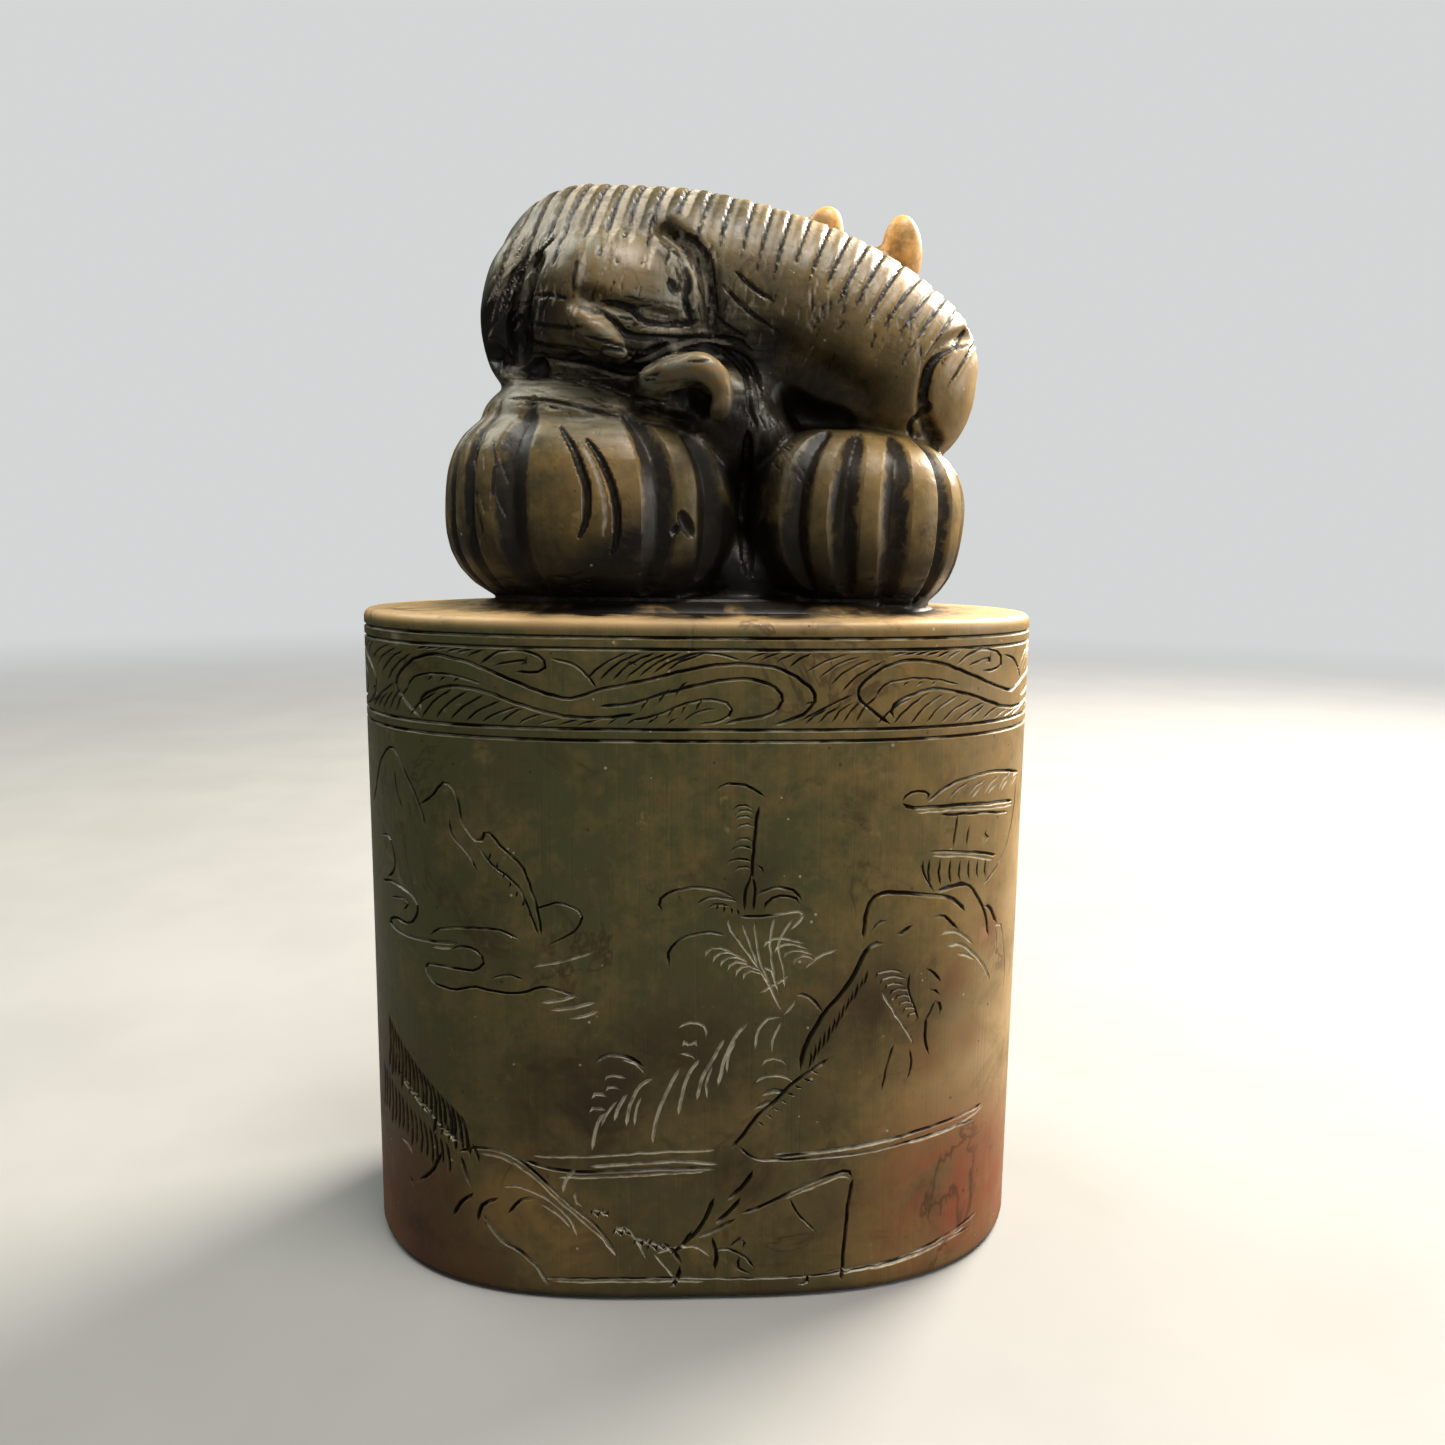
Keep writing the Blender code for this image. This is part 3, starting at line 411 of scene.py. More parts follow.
def cliff():
    dark(0.46, ((13.2, 31.9), (13.3, 34), (13.8, 35.2), (14.6, 35.8), (16.4, 35.7), (18.8, 35.3),
         (20.9, 34.8), (22.2, 34), (22.9, 33.2)))
    dark(0.36, ((19.6, 35.3), (21.6, 35.7), (23.2, 35.5), (24.6, 33.9), (25.5, 32.5), (26.1, 30.4)))
    dark(0.44, ((25.2, 33.2), (26.2, 33), (26.8, 32), (27.5, 31.2)))
    chalky(((27, 31), (28.2, 30.9), (28.9, 29.2), (29.5, 26.6), (29.5, 24.6)), ((27.3, 30.8), (27.5, 29.4),
           (27.6, 28.2)))
    dark(0.5, ((15, 31.5), (13.9, 31.4), (13.1, 30.3), (12.3, 28.6), (11.2, 27.1), (10.1, 25.8), (9.2, 24.3),
         (8.4, 22.5), (8.1, 20.7)))
    dark(0.42, ((10.6, 21.8), (9.2, 20.8), (7.6, 19.7), (5.8, 17.8), (4.7, 16.9), (3.6, 15.3), (2.4, 13.9)))
    dark(0.36, ((7.6, 27.4), (8.2, 27.5), (9.3, 26.7), (10, 25.8)), ((13.8, 32.5), (14.5, 33.3),
         (15.3, 33.5)))
    dark(0.46, ((16, 32.2), (16.7, 32.3), (17.5, 32.9)))
    dark(0.34, ((19.3, 33.3), (20.6, 33.2), (22.2, 31.8)))
    bold(((20.1, 31.6), (21.3, 31.8), (22.6, 31.3), (24, 30.1)), ((20.9, 30.5), (22.6, 30.4), (24.2, 29.2),
         (25.5, 27.9), (26.7, 26.2)), ((21.9, 29.7), (23.4, 29.3), (24.4, 28.6)))
    hooks((14.2, 28.4), (17.2, 24.4), 8, (2.6, 1.4), 0.7, fine)
    chalky(((14.8, 27.4), (16.2, 25.2), (17.4, 23.4), (18, 22.2)))
    fine(((17.5, 28.8), (17.3, 27.3), (18.1, 25.2), (18.5, 24.2)), ((20.1, 26), (19.5, 24.9), (18.8, 23.8)))
    dark(0.34, ((18.8, 28.9), (19.9, 28.2), (20.5, 27.4)), ((19.3, 27), (20, 26.7), (20.5, 26.2)),
         ((19.9, 25.8), (20.6, 25.4), (20.4, 24.4)), ((19.2, 24.6), (19.1, 22.6), (19.6, 21)))
    comb((13.6, 29.4), (9.0, 22.6), 13, (-104, -96), (1.6, 2.2))
    comb((9.4, 21.4), (4.6, 16.4), 9, (-20, -36), (1.2, 0.9))
    for wide, height in ((2.3, 21.1), (3.3, 19.6)):
        chalky(arcLine(6.0, height, wide, 1.7, 170, 10, 4))
    dark(0.5, ((4.9, 18.6), (5.8, 19.1), (6.8, 18.9), (7.4, 19.2)))
    dark(0.44, ((4.4, 17.4), (5.2, 18), (6.2, 18.2)))
    fine(((16.2, 22.6), (15.6, 20.6), (15.2, 18.4)), ((17.6, 22), (17.9, 20.4), (17.4, 19)))


def water():
    chalky(((-14, 13.1), (-8.8, 13.3), (-4.6, 13.7), (1.4, 13.9)), ((-11.9, 11.3), (-6, 11.6), (0.6, 12)),
           ((5.9, 13.4), (11, 13.4), (17, 13.9)), ((17.6, 13.3), (22, 13.6), (26.6, 14.4)))
    bold(((-9.2, 12.4), (-4.6, 12.8), (-1.5, 12.9), (1.6, 12.6)))
    dark(0.4, ((-14.6, 12.6), (-11.9, 12), (-9.6, 11.9), (-4, 12.2), (1.4, 12.2)))
    dark(0.3, ((3.2, 14.3), (4.3, 13.1), (5.8, 12.9), (9.3, 12.9), (14.1, 13), (17.1, 13.4), (21.6, 13.7),
         (25.2, 13.6)))
    dark(0.38, ((5.8, 13), (8, 13.3), (12.4, 13.6), (16.4, 14), (20.6, 14.4), (26.4, 14.7)))
    dark(0.26, ((-13.3, 2), (-4, 2.2), (6, 2), (15.4, 2.2), (20.2, 2.8), (25.4, 3.2)))
    dark(0.38, ((10.6, 2.3), (16.4, 2.5), (21.2, 3.3), (26.4, 4.2)))
    chalky(((14.4, 2), (19.4, 2.5), (24.6, 3.5)), ((-12.4, 1.7), (-6, 1.9), (0.6, 1.8)))


def nearBank():
    dark(0.4, ((3.4, 8), (5.2, 8.7), (7.4, 9.8), (9.8, 10.8), (12.2, 11.5), (12.9, 10.8)), ((12.9, 10.8),
         (12.5, 8.4), (12.3, 5.4), (12.1, 2.2), (12.1, 0.9)))
    chalky(((6.8, 9.2), (9.6, 10.3), (12, 11.1), (12.7, 10.6)))
    fine(((7.5, 9.4), (8.2, 7.9), (9.9, 6)))
    dark(0.34, ((-20.8, 12.4), (-18.7, 13.2), (-16.2, 13.1), (-14, 11.9), (-12, 10), (-10, 8.2), (-8.6, 7),
         (-7.6, 5.6), (-6.9, 4.2)))
    chalky(((-18.6, 12.7), (-16.8, 12.7), (-15, 12), (-13.4, 10.8), (-11.4, 8.9), (-9.7, 7.4), (-8.2, 6),
           (-6.9, 4.1)), ((-16.7, 9.9), (-15.6, 10.2), (-13.9, 9.9), (-11.9, 8.7), (-10.6, 7.2),
           (-10.1, 5.9)), ((-13.4, 8.8), (-11.7, 7.9), (-10.6, 6.6)), ((-3.8, 4.4), (-1.8, 5), (-0.2, 5),
           (1, 4)))
    dark(0.4, ((-16.2, 7.4), (-15, 8.9), (-13.6, 9.3)))
    dark(0.44, ((-21.4, 6.2), (-20.6, 7.6), (-19.2, 9)), ((-19, 6.2), (-18.4, 8), (-16.9, 8.9)),
         ((-22.4, 12), (-23.6, 9.8), (-25.2, 8.4)), ((-20.4, 12.2), (-20, 10.6), (-19.4, 9.4)),
         ((-18.4, 7.2), (-17, 5.2), (-15.2, 4.3), (-13.6, 2.9), (-12.6, 1.2)), ((-28, 11.6), (-26.6, 11.2),
         (-26, 10.4)), ((-26.4, 8.6), (-26, 7.2)))
    for x, z, turn, long in ((1.2, 9.6, -118, 4.8), (-0.6, 6.6, -128, 3.2), (3.4, 9.6, -132, 3.4),
                             (3.0, 7.6, -152, 3.6), (-3.2, 5.6, -52, 2.8), (-1.6, 3.4, -112, 2.6),
                             (4.4, 12.0, -128, 3.6), (1.0, 6.0, -86, 3.4)):      # cracks in the rock
        tip = (x + long * math.cos(math.radians(turn)), z + long * math.sin(math.radians(turn)))
        dark(0.46, ((x, z), ((x + tip[0]) / 2 + 0.3, (z + tip[1]) / 2), tip))
    dark(0.3, ((1.2, 4.6), (2.2, 4.9), (3.6, 4.2), (4.6, 2.9)), ((2.4, 4.8), (3.2, 5.7), (3.8, 5.5),
         (3.6, 4.6)), ((3.4, 4.2), (3.2, 3), (4.4, 2.4)), ((8.6, 2.3), (9.2, 1.9), (8.9, 0.9), (8.2, 1.1)))
    bold(((-11.4, 9.8), (-11, 11.4), (-10, 12.2)), ((-10.2, 10.4), (-10.3, 9.4), (-9.6, 8.6)))
    for x, z in ((-9.2, 7.7), (-7.3, 6.0), (-5.6, 5.0), (-4.4, 4.6)):
        zigzag(x, z, 1.7, 0.9, 5, fine)
        zigzag(x + 0.2, z + 0.3, 1.3, 0.7, 3)
    chalky(((-7.2, 6.2), (-6.2, 7), (-5.2, 5.6), (-4.4, 3.9)), ((-3.9, 4.6), (-2.8, 3.2), (-1.9, 2)))


def reeds():
    bold(((-8.9, 13.7), (-8.7, 15.4), (-8.1, 16.9), (-7.6, 17.4)), ((-7.1, 16.4), (-6.7, 17.8),
         (-5.9, 19.1)), ((-6.1, 15.9), (-5.8, 17.8), (-4.9, 19.7), (-3.7, 20.4)), ((-3.9, 14.4), (-3.6, 17),
         (-2.6, 19.4), (-1.7, 21.4)), ((-1.8, 16.9), (-1.5, 19), (-0.9, 20.9), (0, 22.1)), ((-0.3, 18.2),
         (0.1, 20.2), (1.2, 22.4), (2, 23.9)), ((1.4, 19.4), (1.8, 21.4), (2.6, 23.6), (3.9, 25.4)))
    chalky(((-8.2, 15.9), (-7.4, 17.6), (-6.7, 18.4)), ((-5.4, 16), (-5.2, 17.8), (-4.7, 18.8)),
           ((0.5, 18.4), (0.5, 20), (1, 21.6)), ((2.2, 20.6), (2.2, 22.2), (2.9, 23.6)), ((4.4, 22.6),
           (4.6, 24.2), (5.4, 25.4), (6.6, 25.6)), ((5.8, 22.4), (5.9, 23.8), (6.6, 25.2)), ((6.6, 25.6),
           (7.4, 26.4), (7.6, 27.2)))
    hooks((-9.2, 17.2), (-9.0, 18.4), 2, (1.5, 1.4), 0.5, bold)      # a seed head on the first reed
    hooks((-7.8, 19.0), (-7.9, 20.0), 2, (1.4, 2.0), 0.6)
    dark(0.4, ((-8.7, 21.6), (-7.6, 22.3), (-5.9, 22.2), (-4.6, 21.2)))
    chalky(((-6.6, 22), (-5.2, 21.6), (-4.5, 20.6)), ((-2, 24.6), (-0.9, 25.2), (0.4, 24.8), (0.4, 23.7)))
    zigzag(-1.6, 23.0, 1.4, 0.7, 4)
    chalky(((-1.9, 22.5), (-0.9, 22.4), (-0.4, 21.8)))
    # a row of upright hatching that falls to the right, with a light line along it and a second row below
    comb((-29.4, 22.6), (-20.4, 16.0), 19, (-94, -80), (5.2, 3.4), lambda row: dark(0.48, row))
    comb((-31.0, 17.6), (-22.0, 13.2), 16, (-96, -84), (4.8, 3.2), lambda row: dark(0.38, row))
    comb((-23.0, 15.6), (-19.4, 13.6), 7, (-100, -70), (2.4, 2.0), lambda row: dark(0.46, row))
    fine(((-28.6, 18.2), (-26.2, 16.9), (-24, 15.6), (-22.6, 14.4), (-20.4, 13.2)))
    chalky(((-27.6, 17.4), (-25.6, 16.2), (-23.8, 15)), ((-22.8, 14.2), (-21.6, 13.6), (-20.6, 13)))


def farSide():
    # the side away from the viewer, plainer: hills, a pine, cloud, water and reeds
    engrave(((38, 25), (42, 30), (46, 27), (50, 33), (54, 38), (58, 42), (61, 38), (64, 34), (68, 37),
             (72, 32), (76, 27), (80, 30), (84, 25)))
    comb((53, 37), (58, 41), 6, (-80, -100), (3.0, 4.6))
    comb((66, 35), (71, 32.4), 5, (-104, -98), (3.0, 2.4))
    engrave(((40, 14), (52, 14.4), (64, 13.8), (76, 14.4), (84, 13.8)))
    chalky(((44, 13.1), (58, 13.4), (70, 12.9)))
    engrave(((50, 8), (54, 10), (59, 10.6), (62, 8), (66, 6), (71, 8.6), (78, 6)))
    comb((52, 8.4), (61, 8.6), 8, (-84, -98), (2.2, 2.8))
    for x in (44, 70):
        engrave(arcLine(x, 45, 8, 2.6, 175, 5))
        fine(arcLine(x + 3, 43.8, 7, 2.2, 170, 15))
    for side in (-1, 1):
        for step in range(3):
            x, z, wide = 76 + side * 2.4, 42 - step * 2.8, 4.8 - step * 0.5
            fine(arcLine(x, z, wide, 2.4, 90 - side * 80, 90 + side * 70))
    engrave(((76, 44), (76.3, 38), (75.8, 31)), 0.34, 0.22)
    comb((42, 14.6), (49, 14.8), 6, (70, 98), (4.0, 5.0), chalky)
    engrave(((44, 3), (58, 2.7), (74, 3.1), (82, 2.7)))
    engrave(((34, 33), (36, 27), (35, 21), (38, 16), (37.4, 9)))
    comb((35, 30), (36.6, 14), 8, (-24, -18), (2.4, 3.0))
    engrave(((-45, 44), (-42, 47), (-38.6, 43), (-36, 45), (-33.6, 41.8)))
    engrave(((-46, 24), (-42, 28), (-38, 26), (-34, 22)))
    comb((-44, 25), (-36, 23), 7, (-96, -86), (2.8, 2.2))
    engrave(((-47, 12.6), (-40, 13.2), (-33, 12.2)))
    comb((-44, 43), (-38, 41), 5, (-104, -96), (2.6, 3.2))


for motif in (borderScrolls, farPeaks, clouds, tallTree, pavilion, cliff, water, nearBank, reeds, farSide):
    motif()
print("engraving:", len(strokes), "strokes")


def strokeEdges(places, half):
    # the two edges of a stroke: half its width to each side, and meeting at its ends
    runs = np.gradient(places, axis=0)
    across = np.stack([-runs[:, 1], runs[:, 0]], 1)
    across /= np.maximum(np.linalg.norm(across, axis=1), 1e-12)[:, None]
    halves = np.full((len(places), 1), half)
    halves[0] = halves[-1] = 0.0
    return places + across * halves, places - across * halves


def marksOnWall(flat):
    # how deep each place of the unrolled wall is cut, and how dark and how chalky it is
    depths, dark, chalk = np.zeros(len(flat)), np.zeros(len(flat)), np.zeros(len(flat))
    for height in ringHeights:
        share = np.clip(1 - np.abs(flat[:, 1] - height * mm) / (border["ringWide"] * mm / 2), 0, 1)
        depths = np.maximum(depths, border["ringDeep"] * mm * share)
        dark = np.maximum(dark, share)
    for places, half, deep, darkness, chalkiness in strokes:
        near = roundRoute(places, flat, half)
        if len(near) == 0:
            continue
        gap, along = nearestOn(places, flat[near])
        ends = np.clip(np.minimum(along, 1 - along) * (len(places) - 1), 0, 1)
        share = np.clip(ends - gap / half, 0, 1)
        depths[near] = np.maximum(depths[near], deep * share)
        dark[near] = np.maximum(dark[near], darkness * share)
        chalk[near] = np.maximum(chalk[near], chalkiness * share)
    return depths, dark, chalk


columns = columnPlaces()


def engravedWall():
    # the wall's skin between foot and rim: the unrolled sheet is cut along every stroke, then rolled up
    foot, rim = block["foot"], block["height"] - block["rim"]
    points, edges = [], []

    def add(row):
        first = len(points)
        points.extend(row)
        edges.extend((first + step, first + step + 1) for step in range(len(row) - 1))

    for height in (foot, rim):
        add([(column, height) for column in columns])
    rises = np.linspace(foot, rim, round((rim - foot) / block["netUp"]) + 1)
    for column in columns:
        add([(column, rise) for rise in rises])
    for height in ringHeights:
        for side in (-0.5, 0, 0.5):
            level = (height + side * border["ringWide"]) * mm
            add([(column, level) for column in columns])
    for places, half, *_ in strokes:
        sides = strokeEdges(places, half)
        for row in (sides[0], places, sides[1]):
            add([tuple(point) for point in row])
    corners = [Vector(point) / mm for point in points]
    flat, _, triangles, *_ = delaunay_2d_cdt(corners, edges, [], 0, cut["merge"] / 10, False)
    flat = np.array(flat) * mm
    depths, dark, chalk = marksOnWall(flat)
    mesh = bpy.data.meshes.new("wall")
    mesh.from_pydata(wallPoints(flat[:, 0], flat[:, 1], depths).tolist(), [], triangles)
    writeMarks(mesh, "carved", dark)
    writeMarks(mesh, "chalk", chalk)
    wall = bpy.data.objects.new("wall", mesh)
    bpy.context.scene.collection.objects.link(wall)
    return wall


def blockBody():
    # a cylinder drawn into the oval, its foot and rim bevelled, its top drawn up to a dome
    nothingSelected()
    count = len(columns) - 1
    bpy.ops.mesh.primitive_cylinder_add(vertices=count, radius=1, depth=1, end_fill_type="NGON")
    body = bpy.context.object
    lower = wallPoints(columns[:-1], [0.0] * count, 0.0)
    upper = wallPoints(columns[:-1], [block["height"]] * count, 0.0)
    for number, vert in enumerate(body.data.vertices):      # bottom, top, bottom, top and so on
        vert.co = (upper if number % 2 else lower)[number // 2]
    bpy.ops.object.mode_set(mode="EDIT")
    for level, rounding in ((0.0, block["foot"]), (block["height"], block["rim"])):
        bm = bmesh.from_edit_mesh(body.data)
        bpy.ops.mesh.select_all(action="DESELECT")
        bm.select_mode = {"EDGE"}
        for edge in bm.edges:
            if all(abs(vert.co.z - level) < block["levelGap"] for vert in edge.verts):
                edge.select_set(True)
        bm.select_flush_mode()
        bmesh.update_edit_mesh(body.data)
        bpy.ops.mesh.bevel(offset=rounding, segments=block["roundSteps"], profile=0.5)
    for share, before in zip(block["domeRings"], (1.0, *block["domeRings"])):
        bm = bmesh.from_edit_mesh(body.data)
        bpy.ops.mesh.select_all(action="DESELECT")
        top = max(bm.faces, key=lambda face: face.calc_center_median().z + face.calc_area())
        top.select_set(True)
        bmesh.update_edit_mesh(body.data)
        lift = block["dome"] * (before**2 - share**2)
        bpy.ops.mesh.extrude_region_move(TRANSFORM_OT_translate={"value": (0, 0, lift)})
        bpy.ops.transform.resize(value=(share / before, share / before, 1))
    bm = bmesh.from_edit_mesh(body.data)
    bpy.ops.mesh.select_all(action="DESELECT")
    low, high = 2 * block["foot"], block["height"] - 2 * block["rim"]
    for face in bm.faces:      # the plain wall makes room for the engraved one
        if min(vert.co.z for vert in face.verts) < low and max(vert.co.z for vert in face.verts) > high:
            face.select_set(True)
    bmesh.update_edit_mesh(body.data)
    bpy.ops.mesh.delete(type="FACE")
    bpy.ops.object.mode_set(mode="OBJECT")
    return body


def carvedBlock():
    body = blockBody()
    wall = engravedWall()
    makeActive(body, wall)
    bpy.ops.object.join()
    bpy.ops.object.mode_set(mode="EDIT")
    bpy.ops.mesh.select_all(action="SELECT")
    bpy.ops.mesh.remove_doubles(threshold=cut["merge"] * mm)
    bpy.ops.mesh.dissolve_degenerate(threshold=cut["merge"] * mm / 2)
    bpy.ops.mesh.normals_make_consistent(inside=False)
    bpy.ops.object.mode_set(mode="OBJECT")
    body.name = "block"
    return body


blockPiece = carvedBlock()
print("block:", triangleCount(blockPiece.data), "triangles")


# Beast: its forms in millimetres from the middle of the block's top, x to the right, y away from the viewer

beast = {
    "voxel": 0.21 * mm, "soften": 0.5, "softJoins": 14, "softScoops": 4, "triangles": 126000, "sides": 40,
    "rings": 22, "ropeSteps": 7, "clearance": 0.02 * mm, "eyeGap": 80, "lineTaper": 0.35,
    "smoothAngle": 26,
    "haunches": {
        "left": {"at": (-9.2, -1, 8.5), "radii": (12.8, 13.4, 8.9), "power": 2.8, "turn": 3},
        "right": {"at": (13, -1, 7.8), "radii": (9.7, 13, 8.1), "power": 2.7, "turn": 7},
    },
    "balls": {
        "foot": {"at": (0.5, -0.8, -0.6), "radii": (20.9, 12.4, 2.2), "power": 3.0},
        "core": {"at": (1.5, 2, 14), "radii": (15, 9, 12)},
        "breast": {"at": (2.6, -4.6, 16.2), "radii": (5.4, 6.4, 5.6)},
        "ledge": {"at": (-11, -2.6, 15.6), "radii": (8, 9.2, 4.5)},
        "rump": {"at": (-8.9, -0.5, 25.5), "radii": (9, 10.6, 9.8)},
        "shoulder": {"at": (-7.6, -6, 25.2), "radii": (7.6, 6.8, 6), "turn": 10},
        "wrist": {"at": (-2, -8, 18.6), "radii": (4, 4.4, 2.6)},
        "leaf": {"at": (-8.4, -12, 21.9), "radii": (3, 1.3, 1.1), "turn": 36},
        "cheek": {"at": (19.5, -3, 18.9), "radii": (4, 6, 6), "turn": 8},
        "head": {"at": (13.8, 6, 25), "radii": (8, 7.2, 7.2)},
        "muzzle": {"at": (14.4, 11.2, 20.8), "radii": (5.2, 3.6, 3.8)},
        "brow": {"at": (14.6, 5.6, 30.8), "radii": (4.2, 2.8, 2.4)},
        "eye one": {"at": (10.6, 11.4, 26.4), "radii": (1.5, 1.4, 1.4)},
        "eye two": {"at": (18.2, 11, 26), "radii": (1.5, 1.4, 1.4)},
        "ear one": {"at": (10.8, 4.6, 33.2), "radii": (2, 1.3, 3.3), "turn": 20},
        "ear one side": {"at": (12, 4.7, 32.4), "radii": (1.5, 1.2, 2.4), "turn": -14},
        "web": {"at": (3.6, -2, 3.2), "radii": (5, 7.4, 5.6)},
        "ear two": {"at": (18.4, 4.6, 32.4), "radii": (1.9, 1.4, 3.4), "turn": -2},
    },
    "ropes": {
        "back": {"route": ((-9, -1, 26.8), (-1, -1.5, 26.5), (7, -2, 25), (12.6, -2.5, 22.8),
                           (16.2, -3, 20.6)),
                 "radii": (8.9, 8.8, 8.3, 7.9, 7.5)},
        "tail": {"route": ((-11.4, -4.4, 31), (-13.6, -5.4, 29.4), (-15.1, -5.8, 27),
                           (-15.9, -5.8, 24), (-15.7, -6, 21), (-14.6, -6.6, 18.6)),
                 "radii": (2, 2.3, 2.6, 2.5, 2.2, 1.6)},
        "paw": {"route": ((-4.6, -11, 18.5), (-2.6, -12.3, 19.1), (-0.5, -12.9, 19.4), (0.9, -13, 18.5),
                          (1.4, -12.9, 17.2), (1.2, -12.7, 16.1)),
                "radii": (0.7, 0.95, 1.15, 1.05, 0.8, 1)},
    },
}


def beastForms():
    # every form is one ball primitive, squared up or stretched, and a rope is a row of them
    nothingSelected()
    bpy.ops.mesh.primitive_uv_sphere_add(segments=beast["sides"], ring_count=beast["rings"], radius=1)
    pattern = bpy.context.object
    unit = placesOf(pattern.data)
    forms = []

    def ball(at, radii, power=2.0, turn=0.0):
        form = pattern.copy()
        form.data = pattern.data.copy()
        bpy.context.scene.collection.objects.link(form)
        reach = (np.abs(unit) ** power).sum(1) ** (-1 / power)
        form.data.vertices.foreach_set("co", (unit * reach[:, None]).ravel())
        form.scale = Vector(radii) * mm
        form.rotation_euler = (0.0, math.radians(turn), 0.0)
        form.location = Vector(at) * mm
        forms.append(form)

    for form in (*beast["haunches"].values(), *beast["balls"].values()):
        ball(**form)
    for rope in beast["ropes"].values():
        route = smoothLine(rope["route"], beast["ropeSteps"])
        knots = range(len(rope["radii"]))
        sizes = np.interp(np.linspace(0, knots[-1], len(route)), knots, rope["radii"])
        for place, size in zip(route, sizes):
            ball(place, (size, size, size))
    bpy.data.objects.remove(pattern)
    makeActive(*forms)
    bpy.ops.object.transform_apply(location=True, rotation=True, scale=True)
    bpy.ops.object.join()
    forms[0].name = "beast"
    return forms[0]


def oneSkin(piece, softening):
    remesh = piece.modifiers.new("one skin", "REMESH")
    remesh.mode = "VOXEL"
    remesh.voxel_size = beast["voxel"]
    smooth = piece.modifiers.new("soft joins", "SMOOTH")
    smooth.factor = beast["soften"]
    smooth.iterations = softening
    applyAll(piece)


def skinTree(mesh):
    bm = bmesh.new()
    bm.from_mesh(mesh)
    tree = BVHTree.FromBMesh(bm)
    bm.free()
    return tree


def onFront(tree, points, steps=4, facing=1.0):
    # points of a front view laid on the surface along +Y, or with facing -1 from behind
    hits = []
    for point in smoothLine([(x * mm, 0.0, z * mm) for x, z in points], steps):
        eye = Vector((point.x, -beast["eyeGap"] * facing * mm, point.z))
        hit = tree.ray_cast(eye, Vector((0.0, facing, 0.0)))[0]
        if hit:
            hits.append(hit)
    return hits


def inwards(tree, centre, directions, reach):
    hits = []
    for direction in directions:
        hit = tree.ray_cast(centre + direction * reach * 2, -direction)[0]
        if hit and (hit - centre).length < reach:
            hits.append(hit)
    return hits


def hollow(share):
    return 1 - share**2


def softHollow(share):
    return (1 - share**2) ** 2


def vee(share):
    return 1 - share


def lobeEdge(share):
    return 1 - share**1.3


def strokeRow(points, wide, deep, taper=0.0, carved=0.0, chalk=0.0):
    return {"points": points, "wide": wide, "deep": deep, "taper": taper, "carved": carved, "chalk": chalk}


def carve(piece, rows, profile, marks=None):
    # presses the skin inwards along rows of points, and notes how dark and how chalky each place gets
    mesh = piece.data
    places = placesOf(mesh)
    normals = np.empty(len(mesh.vertices) * 3)
    mesh.vertex_normals.foreach_get("vector", normals)
    normals = normals.reshape(-1, 3)
    depths = np.zeros(len(places))
    for row in rows:
        route = np.array([tuple(point) for point in row["points"]], dtype=float)
        if len(route) < 2:
            continue
        half = row["wide"] * mm / 2
        near = roundRoute(route, places, half)
        if len(near) == 0:
            continue
        gaps, along = nearestOn(route, places[near])
        swell = np.sin(math.pi * np.clip(along, 0, 1)) ** row["taper"]
        share = profile(np.minimum(gaps / np.maximum(half * swell, 1e-9), 1))
        depths[near] = np.maximum(depths[near], share * row["deep"] * mm * swell)
        if marks is not None:
            for name in ("carved", "chalk"):
                level = share * row[name] * np.minimum(1, swell * 1.5)
                marks[name][near] = np.maximum(marks[name][near], level)
    places -= normals * depths[:, None]
    mesh.vertices.foreach_set("co", places.ravel())
    mesh.update()


scoops = {      # stone taken away before the fine carving: width, depth and route seen from the front
    "gash": (2.6, 1.3, ((-13.4, 27.4), (-14.3, 25.2), (-14.8, 22.8), (-14.6, 20.2))),
    "gash low": (2.6, 1.3, ((-17.4, 20.8), (-15.6, 20), (-13.6, 19.9))),
    "shoulder edge": (2.6, 1, ((-3.2, 30.4), (-1.1, 28.4), (0.3, 26), (0.6, 22.8))),
    "under the paw": (2.4, 2, ((-2.4, 16.8), (-1, 17.1), (-0.1, 16.8))),
    "under the back": (4.2, 0.7, ((1.6, 21.6), (4.2, 19.4), (6.6, 17.2), (11.2, 16.2))),
    "lower back": (5, 0.9, ((5.2, 21.6), (9, 19.8), (12.6, 18))),
    "between the haunches": (1.6, 0.4, ((3.6, 5), (3.5, 9), (3.6, 14))),
    "under the leaf": (1.8, 0.9, ((-15, 21.4), (-11.4, 20.6), (-7, 19.4), (-3.4, 20.8))),
    "over the leaf": (1.6, 0.7, ((-9.4, 24.7), (-6.5, 23.8), (-2.5, 23.4))),
    "cheek edge": (1.6, 0.8, ((22, 23.4), (19, 21.6), (17.8, 19), (18, 16.6), (19.6, 14.4))),
}

